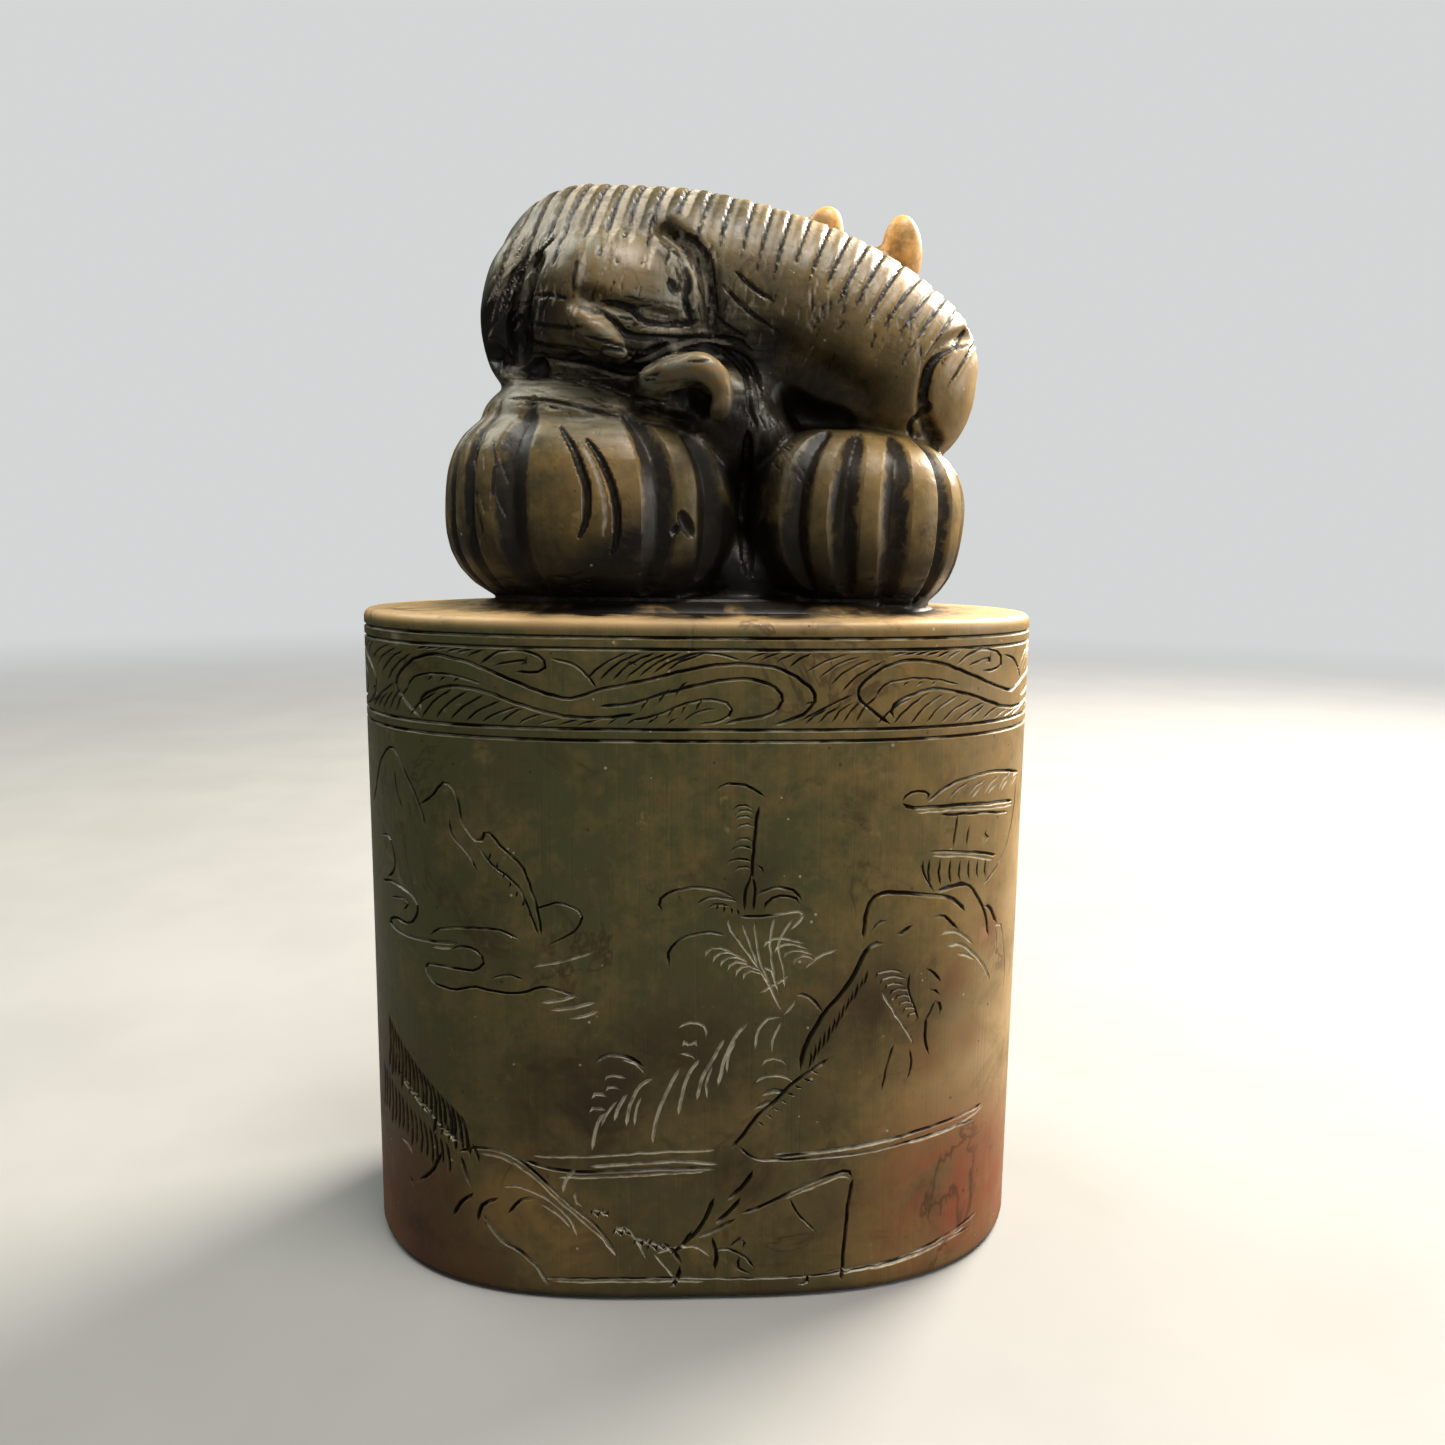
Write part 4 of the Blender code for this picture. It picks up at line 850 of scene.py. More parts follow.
flutes = {      # degrees round each haunch at its top, middle and low end; then width, depth and darkness
    "rise": 42, "low": -36, "step": 4, "taper": 0.4, "plainLobe": (2.6, 0.9, 0.8), "nearForm": 1.6,
    "left": ((-84, -84, -82, 1.4, 0.5, 0.7), (-66, -64, -60, 1.5, 0.5, 0.9), (-55, -52, -47, 1.6, 0.5, 0.9),
             (-44, -41, -36, 1.6, 0.5, 0.9), (-24, -25, -17, 3.3, 0.9, 1), (16, 24, 22, 3, 0.9, 1),
             (31, 43, 40, 3.2, 0.9, 1)),
    "right": ((-18, -27, -17, 3, 1, 1), (-2, -9, -4, 2.7, 1, 1), (18, 9, 11, 2.8, 1, 1),
              (33, 30, 28, 2, 0.8, 0.8), (52, 48, 43, 1.8, 0.7, 0.7)),
    "behindLeft": range(100, 262, 18), "behindRight": range(74, 240, 18),
}

hair = {      # combed strokes over the back: turns in degrees from its crown, behind it and down its front
    "rows": 26, "start": -12.2, "spacing": 1.38, "behind": -96, "front": 88, "rumpFront": 142,
    "rumpRows": 11, "slant": 5.6, "sway": (-9, 7), "points": 14, "routeSteps": 12, "reach": 1.5,
    "wide": 0.62, "deep": 0.26, "taper": 0.5, "dark": 0.9, "lip": 0.52, "lipFirst": 4, "lipWide": 0.8,
    "lipDeep": 0.06, "lipTaper": 0.6, "lipChalkAndHighlight": 0.8, "lipChalkAndHighlightFar": 0.25, "lipFarRow": 9,
}


def onForm(point, form):
    # whether a point of the skin belongs to one form, or to another that covers it there
    away = [(part / mm - middle) / radius for part, middle, radius in zip(point, form["at"], form["radii"])]
    return sum(part**2 for part in away) < flutes["nearForm"]


def scoopRows(tree):
    return [strokeRow(onFront(tree, route), wide, deep) for wide, deep, route in scoops.values()]


def fluteRows(tree):
    # upright scoops round each haunch, like the lobes of a melon
    rows = []
    for side, plain in (("left", "behindLeft"), ("right", "behindRight")):
        haunch = beast["haunches"][side]
        centre = Vector(haunch["at"]) * mm
        reach = Vector(haunch["radii"]).length * mm
        lobes = [*flutes[side], *((turn, turn, turn, *flutes["plainLobe"]) for turn in flutes[plain])]
        for top, middle, low, wide, deep, dark in lobes:
            directions = []
            for rise in range(flutes["low"], flutes["rise"] + 1, flutes["step"]):
                level = rise / flutes["rise"]
                turn = middle + (top - middle) * max(level, 0) ** 2 + (low - middle) * min(level, 0) ** 2
                turn, lift = math.radians(turn), math.radians(rise)
                outwards = Vector((math.sin(turn), -math.cos(turn), 0.0))
                directions.append(math.cos(lift) * outwards + Vector((0.0, 0.0, math.sin(lift))))
            points = [point for point in inwards(tree, centre, directions, reach) if onForm(point, haunch)]
            rows.append(strokeRow(points, wide, deep, flutes["taper"], dark))
    return rows


def hairRows(tree):
    # strokes that wrap the back: slanted over the rump, and square to the back towards the head
    back = beast["ropes"]["back"]
    route = np.array([tuple(point * mm) for point in smoothLine(back["route"], hair["routeSteps"])])
    lengths = np.concatenate([[0.0], np.cumsum(np.linalg.norm(np.diff(route, axis=0), axis=1))])
    first = (route[1] - route[0]) / (lengths[1] - lengths[0])
    last = (route[-1] - route[-2]) / (lengths[-1] - lengths[-2])
    reach = hair["reach"] * max(back["radii"]) * mm

    def at(run):
        return Vector([np.interp(run, lengths, route[:, part]) for part in range(3)])

    rows, lips = [], []
    for number in range(hair["rows"]):
        crown = (hair["start"] - back["route"][0][0] + number * hair["spacing"]) * mm
        onward = min(1.0, number / hair["rumpRows"])
        slant = hair["slant"] * mm * (1 - onward)
        frontTurn = between(hair["rumpFront"], hair["front"], onward) + chance.uniform(*hair["sway"])
        for target, aside in ((rows, 0.0), (lips, hair["lip"] * mm)):
            points = []
            for share in np.linspace(0, 1, hair["points"]):
                run = crown - slant * share**2 + aside
                middle = at(run) + Vector(min(run, 0.0) * first + max(run - lengths[-1], 0.0) * last)
                ahead = Vector(first)
                if run >= lengths[-1]:
                    ahead = Vector(last)
                elif run > 0:
                    ahead = at(run + mm) - at(run - mm)
                ahead.normalize()
                top = (Vector((0.0, 0.0, 1.0)) - ahead * ahead.z).normalized()
                front = top.cross(ahead)
                if front.y > 0:
                    front = -front
                turn = math.radians(hair["behind"] + (frontTurn - hair["behind"]) * share)
                points += inwards(tree, middle, [math.cos(turn) * top + math.sin(turn) * front], reach)
            if aside:
                # the lips' pale chalk is partly a painted highlight on the lit side of each hair groove,
                # strongest over the rump
                chalk = hair["lipChalkAndHighlight"] if number < hair["lipFarRow"] else hair["lipChalkAndHighlightFar"]
                row = strokeRow(points[hair["lipFirst"]:], hair["lipWide"], hair["lipDeep"], hair["lipTaper"],
                                chalk=chalk)
            else:
                row = strokeRow(points, hair["wide"], hair["deep"], hair["taper"], hair["dark"])
            target.append(row)
    return rows, lips


details = {      # carved lines seen from the front: width, depth, darkness, chalk, then their routes
    "flow": (0.75, 0.36, 0.9, 0, (((-14.9, 21.2), (-11.9, 20.7), (-9.1, 20.4), (-6.6, 19.7), (-4.7, 19.9),
        (-2.9, 20.9), (-0.4, 21.5), (1.8, 21.6)), ((-8.5, 23.8), (-7, 22.7), (-5.9, 21.8), (-3.5, 21.8),
        (-0.4, 22.1), (2.4, 22.1), (4, 21.2)), ((-8.2, 24.3), (-5.8, 23.8), (-4.7, 22.9), (-2.3, 22.9),
        (-0.4, 23.4)), ((-2.3, 20.8), (0.2, 21.7), (2.5, 20.7), (3.4, 19.1), (3.6, 16.7), (4.3, 15)),
        ((1.8, 21.6), (3.7, 20.4), (4.5, 18.2), (4.5, 16.2)))),
    "flowRidge": (0.5, 0.06, 0, 0.6, (((-13.4, 20.2), (-9.4, 19.8), (-6.6, 19.2), (-4.4, 19.3), (-2.6, 20.2),
        (-0.2, 20.9), (2, 20.8)), ((-6.4, 20.3), (-4.6, 20.5), (-2.6, 21.4), (0.2, 22), (2.4, 21.8)),
        ((-5.2, 22.3), (-2.6, 22.5), (0.4, 22.8)), ((-2.4, 29.7), (-0.7, 28.7), (0, 26.8), (0.2, 24.4)),
        ((-1.7, 28.4), (-0.8, 26.6), (-0.6, 24.4)))),
    "gash": (3.2, 0.3, 1.3, 0, (((-17, 24.8), (-17.2, 22.6), (-16.8, 20.4)), ((-15.4, 24.2), (-15.4, 21.8),
        (-14.6, 20.2)))),
    # the hole's strong darkness is painted shade in the hole under the paw
    "hole": (2.2, 0.3, 1.4, 0, (((-2.2, 16.9), (-1, 17.1), (-0.1, 16.8)),)),
    "thinFlow": (0.5, 0.22, 0.6, 0, (((-9.6, 21.6), (-7.4, 21), (-5.2, 20.8), (-3, 21.6), (-0.6, 22.3),
        (2, 22.3)), ((1.2, 26.2), (2.6, 24.8), (4.2, 23.6), (6, 22.6)), ((2.2, 27.2), (3.8, 25.8),
        (5.6, 24.8)), ((0.6, 24.2), (1.8, 23), (3.4, 22.2)), ((-13, 26.4), (-14, 24.4), (-14.2, 22.6)),
        ((-14.5, 22), (-11.5, 21.3), (-8.6, 20.7), (-5.9, 20.5), (-5.1, 21)), ((-15.4, 23.4), (-11.6, 22.5),
        (-9.3, 22.1)), ((-15.2, 24.8), (-12.4, 24.8), (-10.5, 24.3)), ((-14.8, 19.2), (-12, 19),
        (-8.8, 18.5), (-4.7, 17.2), (-2.2, 16.7)), ((-15.9, 17.2), (-12.6, 16.9), (-9.5, 16.3), (-5.8, 15.5),
        (-2.2, 15), (0.2, 14.8)))),
    "shoulder": (0.8, 0.35, 0.8, 0, (((-2.9, 30.2), (-1.1, 29.6), (0.2, 27.9), (0.6, 26), (1, 24)),
        ((-3.5, 29.3), (-2, 28.2), (-1.4, 26.4), (-1.5, 24.6), (-1, 23)))),
    "strand": (0.7, 0.32, 0.8, 0, (((-11.6, 29.8), (-13.5, 27.7), (-14.8, 26.3), (-15.5, 23.7)),
        ((-13.8, 28.6), (-15.9, 26.1), (-17, 23.3), (-17.2, 21)), ((-14.7, 27.2), (-16.2, 24.6),
        (-16.8, 22.2)))),
    "cheek": (0.9, 0.4, 0.8, 0, (((22, 22.3), (19.9, 21.7), (18.6, 20.7), (18, 19.2), (17.9, 17.7),
        (18.3, 17), (17, 15.8), (17.4, 14.7)),)),
    "curl": (0.8, 0.4, 1, 0, (((-11.4, 14.9), (-10.4, 13.4), (-9.7, 11.8), (-9.1, 9.8), (-9.2, 7.6),
        (-9.8, 6)), ((-9.3, 13.9), (-8.2, 12.4), (-7.3, 10.4), (-6.8, 8.2), (-6.9, 6), (-7.4, 4.6)))),
    "curlRidge": (0.5, 0.08, 0, 0.6, (((-9.6, 13.4), (-8.7, 11.9), (-8, 10), (-7.7, 8), (-7.9, 6.2)),)),
    "crevice": (1.4, 0.6, 1, 0, (((3.5, 14.9), (3.5, 12.1), (3.4, 9), (3.6, 5.8), (3.9, 3)),)),
    "pits": (1.3, 0.5, 1, 0, (((-1.9, 8.3), (-0.9, 6.3)), ((-2.4, 7.1), (-2, 6.6)), ((-3.5, 10.9),
        (-3.3, 10.6)), ((-2.9, 26.1), (-2, 25.2)))),
    "foot": (0.8, 0.3, 1, 0, (((-19.4, 1.5), (-12, 1.3), (-4, 1.2), (4, 1.2), (12, 1.3), (20.2, 1.6)),)),
}


def ring(x, z, across, tall):
    return tuple((x + across * math.cos(turn), z + tall * math.sin(turn))
                 for turn in (math.tau * step / 10 for step in range(11)))


behind = {      # the same for the side away from the viewer: a plain animal's head, its mane and a hind leg
    "eyes": (0.6, 0.35, 0.9, 0.0, (ring(10.6, 26.4, 1.7, 1.4), ring(18.2, 26.0, 1.7, 1.4))),
    "pupils": (1.1, 0.35, 1, 0, (((10.3, 26.4), (10.9, 26.4)), ((17.9, 26), (18.5, 26)))),
    "brows": (0.7, 0.3, 0.8, 0, (((7.6, 27.6), (8.8, 28.9), (10.6, 29.4), (12.4, 28.8), (13.4, 27.6)),
        ((20.8, 26.6), (20.2, 28.2), (18.6, 29), (16.8, 28.8), (15.4, 27.6)), ((14.4, 28.6), (14.4, 26.8),
        (14.2, 25)))),
    "nostrils": (1.2, 0.5, 1, 0, (((12.4, 21.9), (12.8, 22.4)), ((16.4, 21.9), (16, 22.4)))),
    "mouth": (0.8, 0.45, 1, 0, (((10, 20.2), (11.4, 19), (12.8, 18.9), (14.4, 19.4), (16, 18.9), (17.4, 19),
        (18.8, 20.2)), ((14.4, 21), (14.4, 19.5)))),
    "cheeks": (0.55, 0.22, 0.7, 0, (((8.6, 24.2), (7.4, 22.6), (7.2, 20.8)), ((9.6, 23.4), (8.6, 21.8),
        (8.6, 20)), ((19.8, 23.8), (20.8, 22.4), (21, 20.6)), ((19, 23.2), (19.8, 21.8), (19.6, 20.2)))),
    "leg": (0.9, 0.4, 0.8, 0, (((-17.4, 21), (-16.4, 24.4), (-13.4, 27.4), (-9.4, 28.4), (-5.6, 26.8),
        (-3.6, 23.4), (-3.2, 20.2)), ((-14, 19.8), (-12.4, 22.4), (-9.6, 23.6), (-7, 22.4), (-6.2, 20.2)),
        ((-1.6, 20.6), (0.8, 18.8), (3.6, 18.2), (6, 19.4)))),
    "foreleg": (0.8, 0.35, 0.8, 0, (((1.6, 25.2), (0.4, 22.8), (1.4, 20.4), (4.2, 19)), ((4.6, 25.4),
        (3.6, 23.4), (4.4, 21.4)))),
    "mane": (0.5, 0.20, 0.7, 0.2, tuple(
        ((x, 33.6 - 0.22 * abs(x - 14.4)), (x - 0.3, 31.6), (x - 0.2 - 0.12 * (x - 14.4), 29.9))
        for x in (12.2, 13.1, 14.0, 14.9, 15.8, 16.7))),
    "rump": (0.6, 0.24, 0.8, 0.0, tuple(
        ((x + 1.6, 34.4 - 0.05 * (x + 9.0) ** 2), (x + 0.8, 32.2 - 0.03 * (x + 9.0) ** 2), (x, 29.6))
        for x in (-16.0, -14.6, -13.2, -11.8, -10.4, -9.0, -7.6, -6.2, -4.8, -3.4))),
}

scratches = {      # zones of chisel marks: middle, reach, lean in degrees, how many, darkness, chalk
    "length": (1.2, 3.2), "wide": 0.30, "deep": 0.09, "taper": 0.5, "sway": 16, "paleShare": 0.6,
    "darker": 0.3, "jump": 1.6,
    "zones": (
        ((-14.6, 26.8), (2.4, 3.8), 62, 60, 0.5, 0.5), ((-15.6, 20.6), (1.4, 2.0), 80, 12, 0.9, 0.0),
        ((-0.6, 26.4), (1.6, 3.6), -72, 44, 0.5, 0.5), ((-4.6, 23.4), (4.4, 1.0), 4, 26, 0.6, 0.4),
        ((-9.4, 17.6), (5.6, 1.7), -12, 64, 0.3, 0.5), ((-3.0, 20.4), (4.4, 0.8), 16, 28, 0.5, 0.5),
        ((6.6, 13.6), (2.2, 3.0), -60, 26, 0.1, 0.3), ((6.0, 22.6), (5.0, 2.4), 74, 26, 0.2, 0.4),
        ((-8.4, 2.4), (10.0, 1.0), 2, 26, 0.8, 0.1), ((12.0, 2.4), (8.0, 1.0), 2, 20, 0.8, 0.1),
        ((7.0, 25.0), (6.6, 1.8), 78, 34, 0.2, 0.5), ((15.0, 21.6), (3.0, 2.0), 84, 16, 0.2, 0.4),
        ((-17.6, 8.6), (2.6, 4.6), -80, 16, 0.4, 0.4), ((4.0, 16.2), (1.6, 2.6), -70, 16, 0.6, 0.2),
        ((-8.0, 25.4), (3.0, 1.2), 66, 12, 0.2, 0.4),
    ),
}


def detailRows(tree):
    rows = []
    for lines, facing in ((details, 1.0), (behind, -1.0)):
        for wide, deep, dark, chalk, routes in lines.values():
            for route in routes:
                points = onFront(tree, route, facing=facing)
                rows.append(strokeRow(points, wide, deep, beast["lineTaper"], dark, chalk))
    return rows


def scratchRows(tree):
    rows = []
    for (x, z), (reachX, reachZ), lean, count, dark, chalk in scratches["zones"]:
        for _ in range(count):
            atX, atZ = x + chance.uniform(-1, 1) * reachX, z + chance.uniform(-1, 1) * reachZ
            turn = math.radians(lean + chance.uniform(-scratches["sway"], scratches["sway"]))
            half = chance.uniform(*scratches["length"]) / 2
            ends = ((atX - half * math.cos(turn), atZ - half * math.sin(turn)),
                    (atX + half * math.cos(turn), atZ + half * math.sin(turn)))
            pale = chance.random() < scratches["paleShare"]
            tones = (0.0, chalk) if pale else (dark + scratches["darker"], 0.0)
            rows.append(strokeRow(onFront(tree, ends, 3), scratches["wide"], scratches["deep"],
                                  scratches["taper"], *tones))
    return [row for row in rows if not tooSpread(row["points"])]


def tooSpread(points):
    # a stroke that jumps from one form to another behind it
    if len(points) < 2:
        return True
    return max((b - a).length for a, b in zip(points, points[1:])) > scratches["jump"] * mm


def carvedBeast():
    piece = beastForms()
    oneSkin(piece, beast["softJoins"])
    carve(piece, scoopRows(skinTree(piece.data)), softHollow)
    oneSkin(piece, beast["softScoops"])
    print("beast: skin of", len(piece.data.vertices), "corners")
    marks = {name: np.zeros(len(piece.data.vertices)) for name in ("carved", "chalk")}
    tree = skinTree(piece.data)
    strands, lips = hairRows(tree)
    carve(piece, fluteRows(tree), lobeEdge, marks)
    carve(piece, detailRows(tree), hollow, marks)
    carve(piece, strands, vee, marks)
    carve(piece, lips, hollow, marks)
    carve(piece, scratchRows(skinTree(piece.data)), vee, marks)
    for name, values in marks.items():
        writeMarks(piece.data, name, values)
    return piece, marks


beastPiece, beastMarks = carvedBeast()


def joinedStone(base, figure, figureMarks):
    # the beast is set on the block, kept under the frame's height, thinned and made one with it
    places = placesOf(figure.data)
    room = (cadHigh.z - block["height"]) - beast["clearance"]
    rise = min(1.0, room / places[:, 2].max())
    places[:, 2] = places[:, 2] * rise + block["height"]
    figure.data.vertices.foreach_set("co", places.ravel())
    figure.data.update()
    cloud = [(places, figureMarks["carved"], figureMarks["chalk"])]
    baseMarks = []
    for name in ("carved", "chalk"):
        values = np.zeros(len(base.data.vertices))
        base.data.attributes[name].data.foreach_get("value", values)
        baseMarks.append(values)
    cloud.append((placesOf(base.data), *baseMarks))
    thin = figure.modifiers.new("fewer facets", "DECIMATE")
    thin.ratio = beast["triangles"] / (2 * len(figure.data.polygons))
    thin.use_collapse_triangulate = True
    applyAll(figure)
    join = base.modifiers.new("one stone", "BOOLEAN")
    join.operation = "UNION"
    join.solver = "EXACT"
    join.object = figure
    applyAll(base)
    bpy.data.objects.remove(figure)
    base.name = "sealStone"
    return base, cloud


stone, markCloud = joinedStone(blockPiece, beastPiece, beastMarks)
print("one stone:", triangleCount(stone.data), "triangles")


# Marks read by the finish: how dark and how chalky each place is, and how far into a hollow it lies

hollowSearch = {"rays": 14, "reach": 9 * mm, "lift": 0.06 * mm, "above": 0.4 * mm}


def transferMarks(piece, cloud):
    places = np.concatenate([part[0] for part in cloud])
    values = np.stack([np.concatenate([part[column] for part in cloud]) for column in (1, 2)], 1)
    tree = KDTree(len(places))
    for number, place in enumerate(places):
        tree.insert(place, number)
    tree.balance()
    found = [tree.find(vert.co)[1] for vert in piece.data.vertices]
    for column, name in enumerate(("carved", "chalk")):
        writeMarks(piece.data, name, values[found, column])


# the finish turns this hollow mark into painted shade, partly grime
def findHollows(piece):
    # the share of rays from each place of the beast that soon meet the stone again
    tree = skinTree(piece.data)
    golden = math.pi * (3 - math.sqrt(5))
    rays = []
    for number in range(hollowSearch["rays"]):
        rise = 1 - (number + 0.5) / hollowSearch["rays"]
        spread = math.sqrt(1 - rise * rise)
        rays.append(Vector((spread * math.cos(golden * number), spread * math.sin(golden * number), rise)))
    values = np.zeros(len(piece.data.vertices))
    floorLevel = block["height"] - hollowSearch["above"]
    for number, (vert, normal) in enumerate(zip(piece.data.vertices, piece.data.vertex_normals)):
        if vert.co.z < floorLevel:
            continue
        out = normal.vector
        turn = out.to_track_quat("Z", "Y")
        start = vert.co + out * hollowSearch["lift"]
        met = 0
        for ray in rays:
            if tree.ray_cast(start, turn @ ray, hollowSearch["reach"])[0]:
                met += 1
        values[number] = met / len(rays)
    writeMarks(piece.data, "hollow", values)


transferMarks(stone, markCloud)
findHollows(stone)
makeActive(stone)
bpy.ops.object.shade_smooth_by_angle(angle=math.radians(beast["smoothAngle"]))
print("marks: done")


# Finish: soft soapstone, honey and olive, polished outside and dark in every cut

finish = {
    # grimeAndShade is both dirt packed into the cuts and painted shade: in hollows, under the back, between
    # the haunches and at the beast's foot
    "olive": (0.071, 0.070, 0.025, 1), "honey": (0.27, 0.165, 0.055, 1), "brown": (0.036, 0.021, 0.010, 1),
    "pink": (0.25, 0.068, 0.028, 1), "grimeAndShade": (0.0060, 0.0046, 0.0030, 1), "chalk": (0.50, 0.46, 0.34, 1),
    "cream": (0.46, 0.31, 0.15, 1), "amber": (0.66, 0.36, 0.11, 1), "dust": (0.17, 0.16, 0.115, 1),
    "rust": (0.17, 0.060, 0.020, 1), "umber": (0.092, 0.054, 0.023, 1), "speck": (0.020, 0.014, 0.009, 1),
    "roughPolished": 0.40, "roughGrime": 0.46, "roughChalk": 0.75, "bump": 0.5, "refraction": 1.54,
    "specular": 0.26, "glow": 0.16, "glowColour": (1.0, 0.55, 0.2), "glowReach": 1.3 * mm,
}
scales = {      # how fine each noise is, in waves to the metre
    "cloud": 95, "fineCloud": 420, "grain": 1300, "patch": 160, "foot": 220, "vein": 85, "veinPatch": 60,
    "speck": 1100, "streaks": (1500, 1500, 40), "dirt": 900, "worn": 380, "lip": 300, "dull": 260,
    "bumps": 1500,
}
# partly the stone's colour and partly painted light: paler toward the right side and the upper wall, a bright
# band along the rim, and less honey toward the left as painted shade
warmthAndLightSteps = (      # where honey takes over from olive: axis, two millimetre values, and what is added at each
    ("X", 2, 30, 0.0, 0.62), ("X", -31, -8, -0.22, 0.0), ("Z", 48, 58, 0.0, 0.10),
    ("Z", 57.0, 58.2, 0.0, 0.6), ("Z", 59.0, 60.5, 0.0, -0.6),
)
clouding = (      # noise scale, twist, the values it fades in between, strength and tint
    (115, 1.0, 0.55, 0.70, 0.62, "brown"), (260, 0.8, 0.58, 0.72, 0.50, "brown"),
    (430, 0.5, 0.50, 0.74, 0.30, "umber"), (170, 0.6, 0.60, 0.74, 0.22, "cream"),
    (560, 0.4, 0.64, 0.74, 0.26, "cream"),
)
patches = (      # places in millimetres, reach, tint and strength, laid over each other in this order
    # paler toward the right edge: partly the stone's colour, partly painted light from the right
    (((28, -6, 22), (29, -3, 34), (26, -9, 18)), 15, "cream", 0.70),
    (((29, -4, 50),), 16, "cream", 0.40),
    (((27, -9, 5), (22, -13, 8)), 13, "pink", 0.85),
    (((-28, -7, 6), (-24, -11, 2)), 13, "pink", 0.50),
    (((-11, -15, 18), (-4, -15, 21)), 9, "brown", 0.80),
    (((-30, 0, 24), (-29, -6, 14)), 13, "brown", 0.60),
    (((6, 16, 30), (-30, 2, 50)), 16, "brown", 0.50),
    # painted shade under the back, partly grime
    (((5, -9, 79), (10, -8, 76), (1, -10, 76)), 9, "grimeAndShade", 0.90),
    (((-17, -7, 79), (-13, -10, 82), (-4, -11, 84)), 4.5, "grimeAndShade", 0.95),
    (((10, -15, 25), (3, -16, 12), (9, -15, 7)), 6, "brown", 0.65),
    (((-8, -13, 68), (-7, -12, 84), (14, -12, 70)), 6, "honey", 0.55),
    (((0, -13, 77),), 5, "honey", 0.65),
    (((-24.6, -10.3, 56.0),), 1.1, "chalk", 1.0),
    (((16, -14, 26),), 9, "brown", 0.95),
    (((1.4, -16, 22),), 8, "brown", 0.60),
    (((-24, -12, 5), (-9, -15.5, 17)), 8, "brown", 0.95),
    (((28, 0, 16),), 12, "pink", 0.35),
    (((22.6, -11, 22), (19, -13, 21), (21, -12, 27.5), (24.5, -10, 31)), 3.4, "rust", 0.85),
    (((16, -14, 39), (15.4, -14, 36)), 2.6, "rust", 0.60),
    (((3.9, -16.5, 36.5),), 5.5, "brown", 0.55),
    (((-11.4, -15.5, 5.7), (-15, -14, 9)), 6.5, "honey", 0.85),
    # painted shade and dust on the block's top under the haunches' overhang
    (((-12, -13, 58.6), (-3, -13.5, 58.7), (7, -13.5, 58.7), (17, -10, 58.6)), 4, "grimeAndShade", 1.1),
    (((-17, -7.5, 82.5), (-16.5, -8, 79.5), (-14.8, -9, 80.5)), 3.6, "grimeAndShade", 2.4),
    # painted shade between the haunches, partly grime
    (((-5, -14, 62.5), (3.2, -13, 64), (3.2, -13, 69)), 5.5, "grimeAndShade", 2.0),
    # painted shade and grime at the beast's foot
    (((-0.5, -13, 59.6), (6, -12, 59.6), (-8, -12.5, 59.6)), 4.5, "grimeAndShade", 3.0),
    # painted shade in the crevice between the haunches, partly grime
    (((3.4, -9.5, 61.5), (3.4, -9, 65.5), (3.2, -10, 70), (3.4, -11, 74)), 4.6, "grimeAndShade", 3.0),
    (((-1.6, -14, 78.2), (1.0, -14.5, 77)), 3.6, "honey", 1.8),
    # painted shade in the hole under the paw
    (((-1.2, -13, 74.6),), 1.8, "grimeAndShade", 2.0),
    # painted glow and highlight on the ears, where light shines through them
    (((12, 4, 93), (19, 4, 92)), 8, "amber", 1.8),
    # painted highlight on the upper right of the back and the cheek
    (((21, -6, 77), (16, -4, 84), (8, -2, 88)), 8, "cream", 0.75),
)
dusty = {      # spots in millimetres where fine grey brush marks lie, and which way those run
    "level": {"stretch": (260, 900, 2400), "reach": 6.5, "spots": (
        (-9, -12, 75.6), (-14, -9, 75.8), (-4, -13, 76.0), (-2, -13, 79.2), (2, -12, 79.0),
        (-6, -12, 80.0))},
    "upright": {"stretch": (2400, 900, 260), "reach": 5.0, "spots": (
        (-15, -8, 86), (-9, -11, 88), (-13, -10, 88), (-1, -12, 84.5), (0, -12, 81.5), (6.5, -13, 72),
        (-18, -7, 67), (-8, -12, 87))},
}


def newGroup(name, inputs, outputs):
    group = bpy.data.node_groups.new(name, "ShaderNodeTree")
    for label, kind, value in inputs:
        socket = group.interface.new_socket(label, in_out="INPUT", socket_type=kind)
        if value is not None:
            socket.default_value = value
    for label, kind in outputs:
        group.interface.new_socket(label, in_out="OUTPUT", socket_type=kind)
    return group, group.nodes.new("NodeGroupInput"), group.nodes.new("NodeGroupOutput")


def node(tree, kind, **settings):
    made = tree.nodes.new(kind)
    for name, value in settings.items():
        setattr(made, name, value)
    return made


def noise(tree, vector, scale, detail=4.0, rough=0.55, twist=0.0):
    made = node(tree, "ShaderNodeTexNoise")
    made.inputs["Scale"].default_value = scale
    made.inputs["Detail"].default_value = detail
    made.inputs["Roughness"].default_value = rough
    made.inputs["Distortion"].default_value = twist
    tree.links.new(vector, made.inputs["Vector"])
    return made.outputs["Fac"]


def stretch(tree, value, low, high, toLow=0.0, toHigh=1.0):
    made = node(tree, "ShaderNodeMapRange", interpolation_type="SMOOTHSTEP")
    made.inputs["From Min"].default_value = low
    made.inputs["From Max"].default_value = high
    made.inputs["To Min"].default_value = toLow
    made.inputs["To Max"].default_value = toHigh
    tree.links.new(value, made.inputs["Value"])
    return made.outputs["Result"]


def sums(tree, what, first, second):
    made = node(tree, "ShaderNodeMath", operation=what)
    for socket, value in zip(made.inputs, (first, second)):
        if isinstance(value, (int, float)):
            socket.default_value = value
        else:
            tree.links.new(value, socket)
    return made.outputs[0]


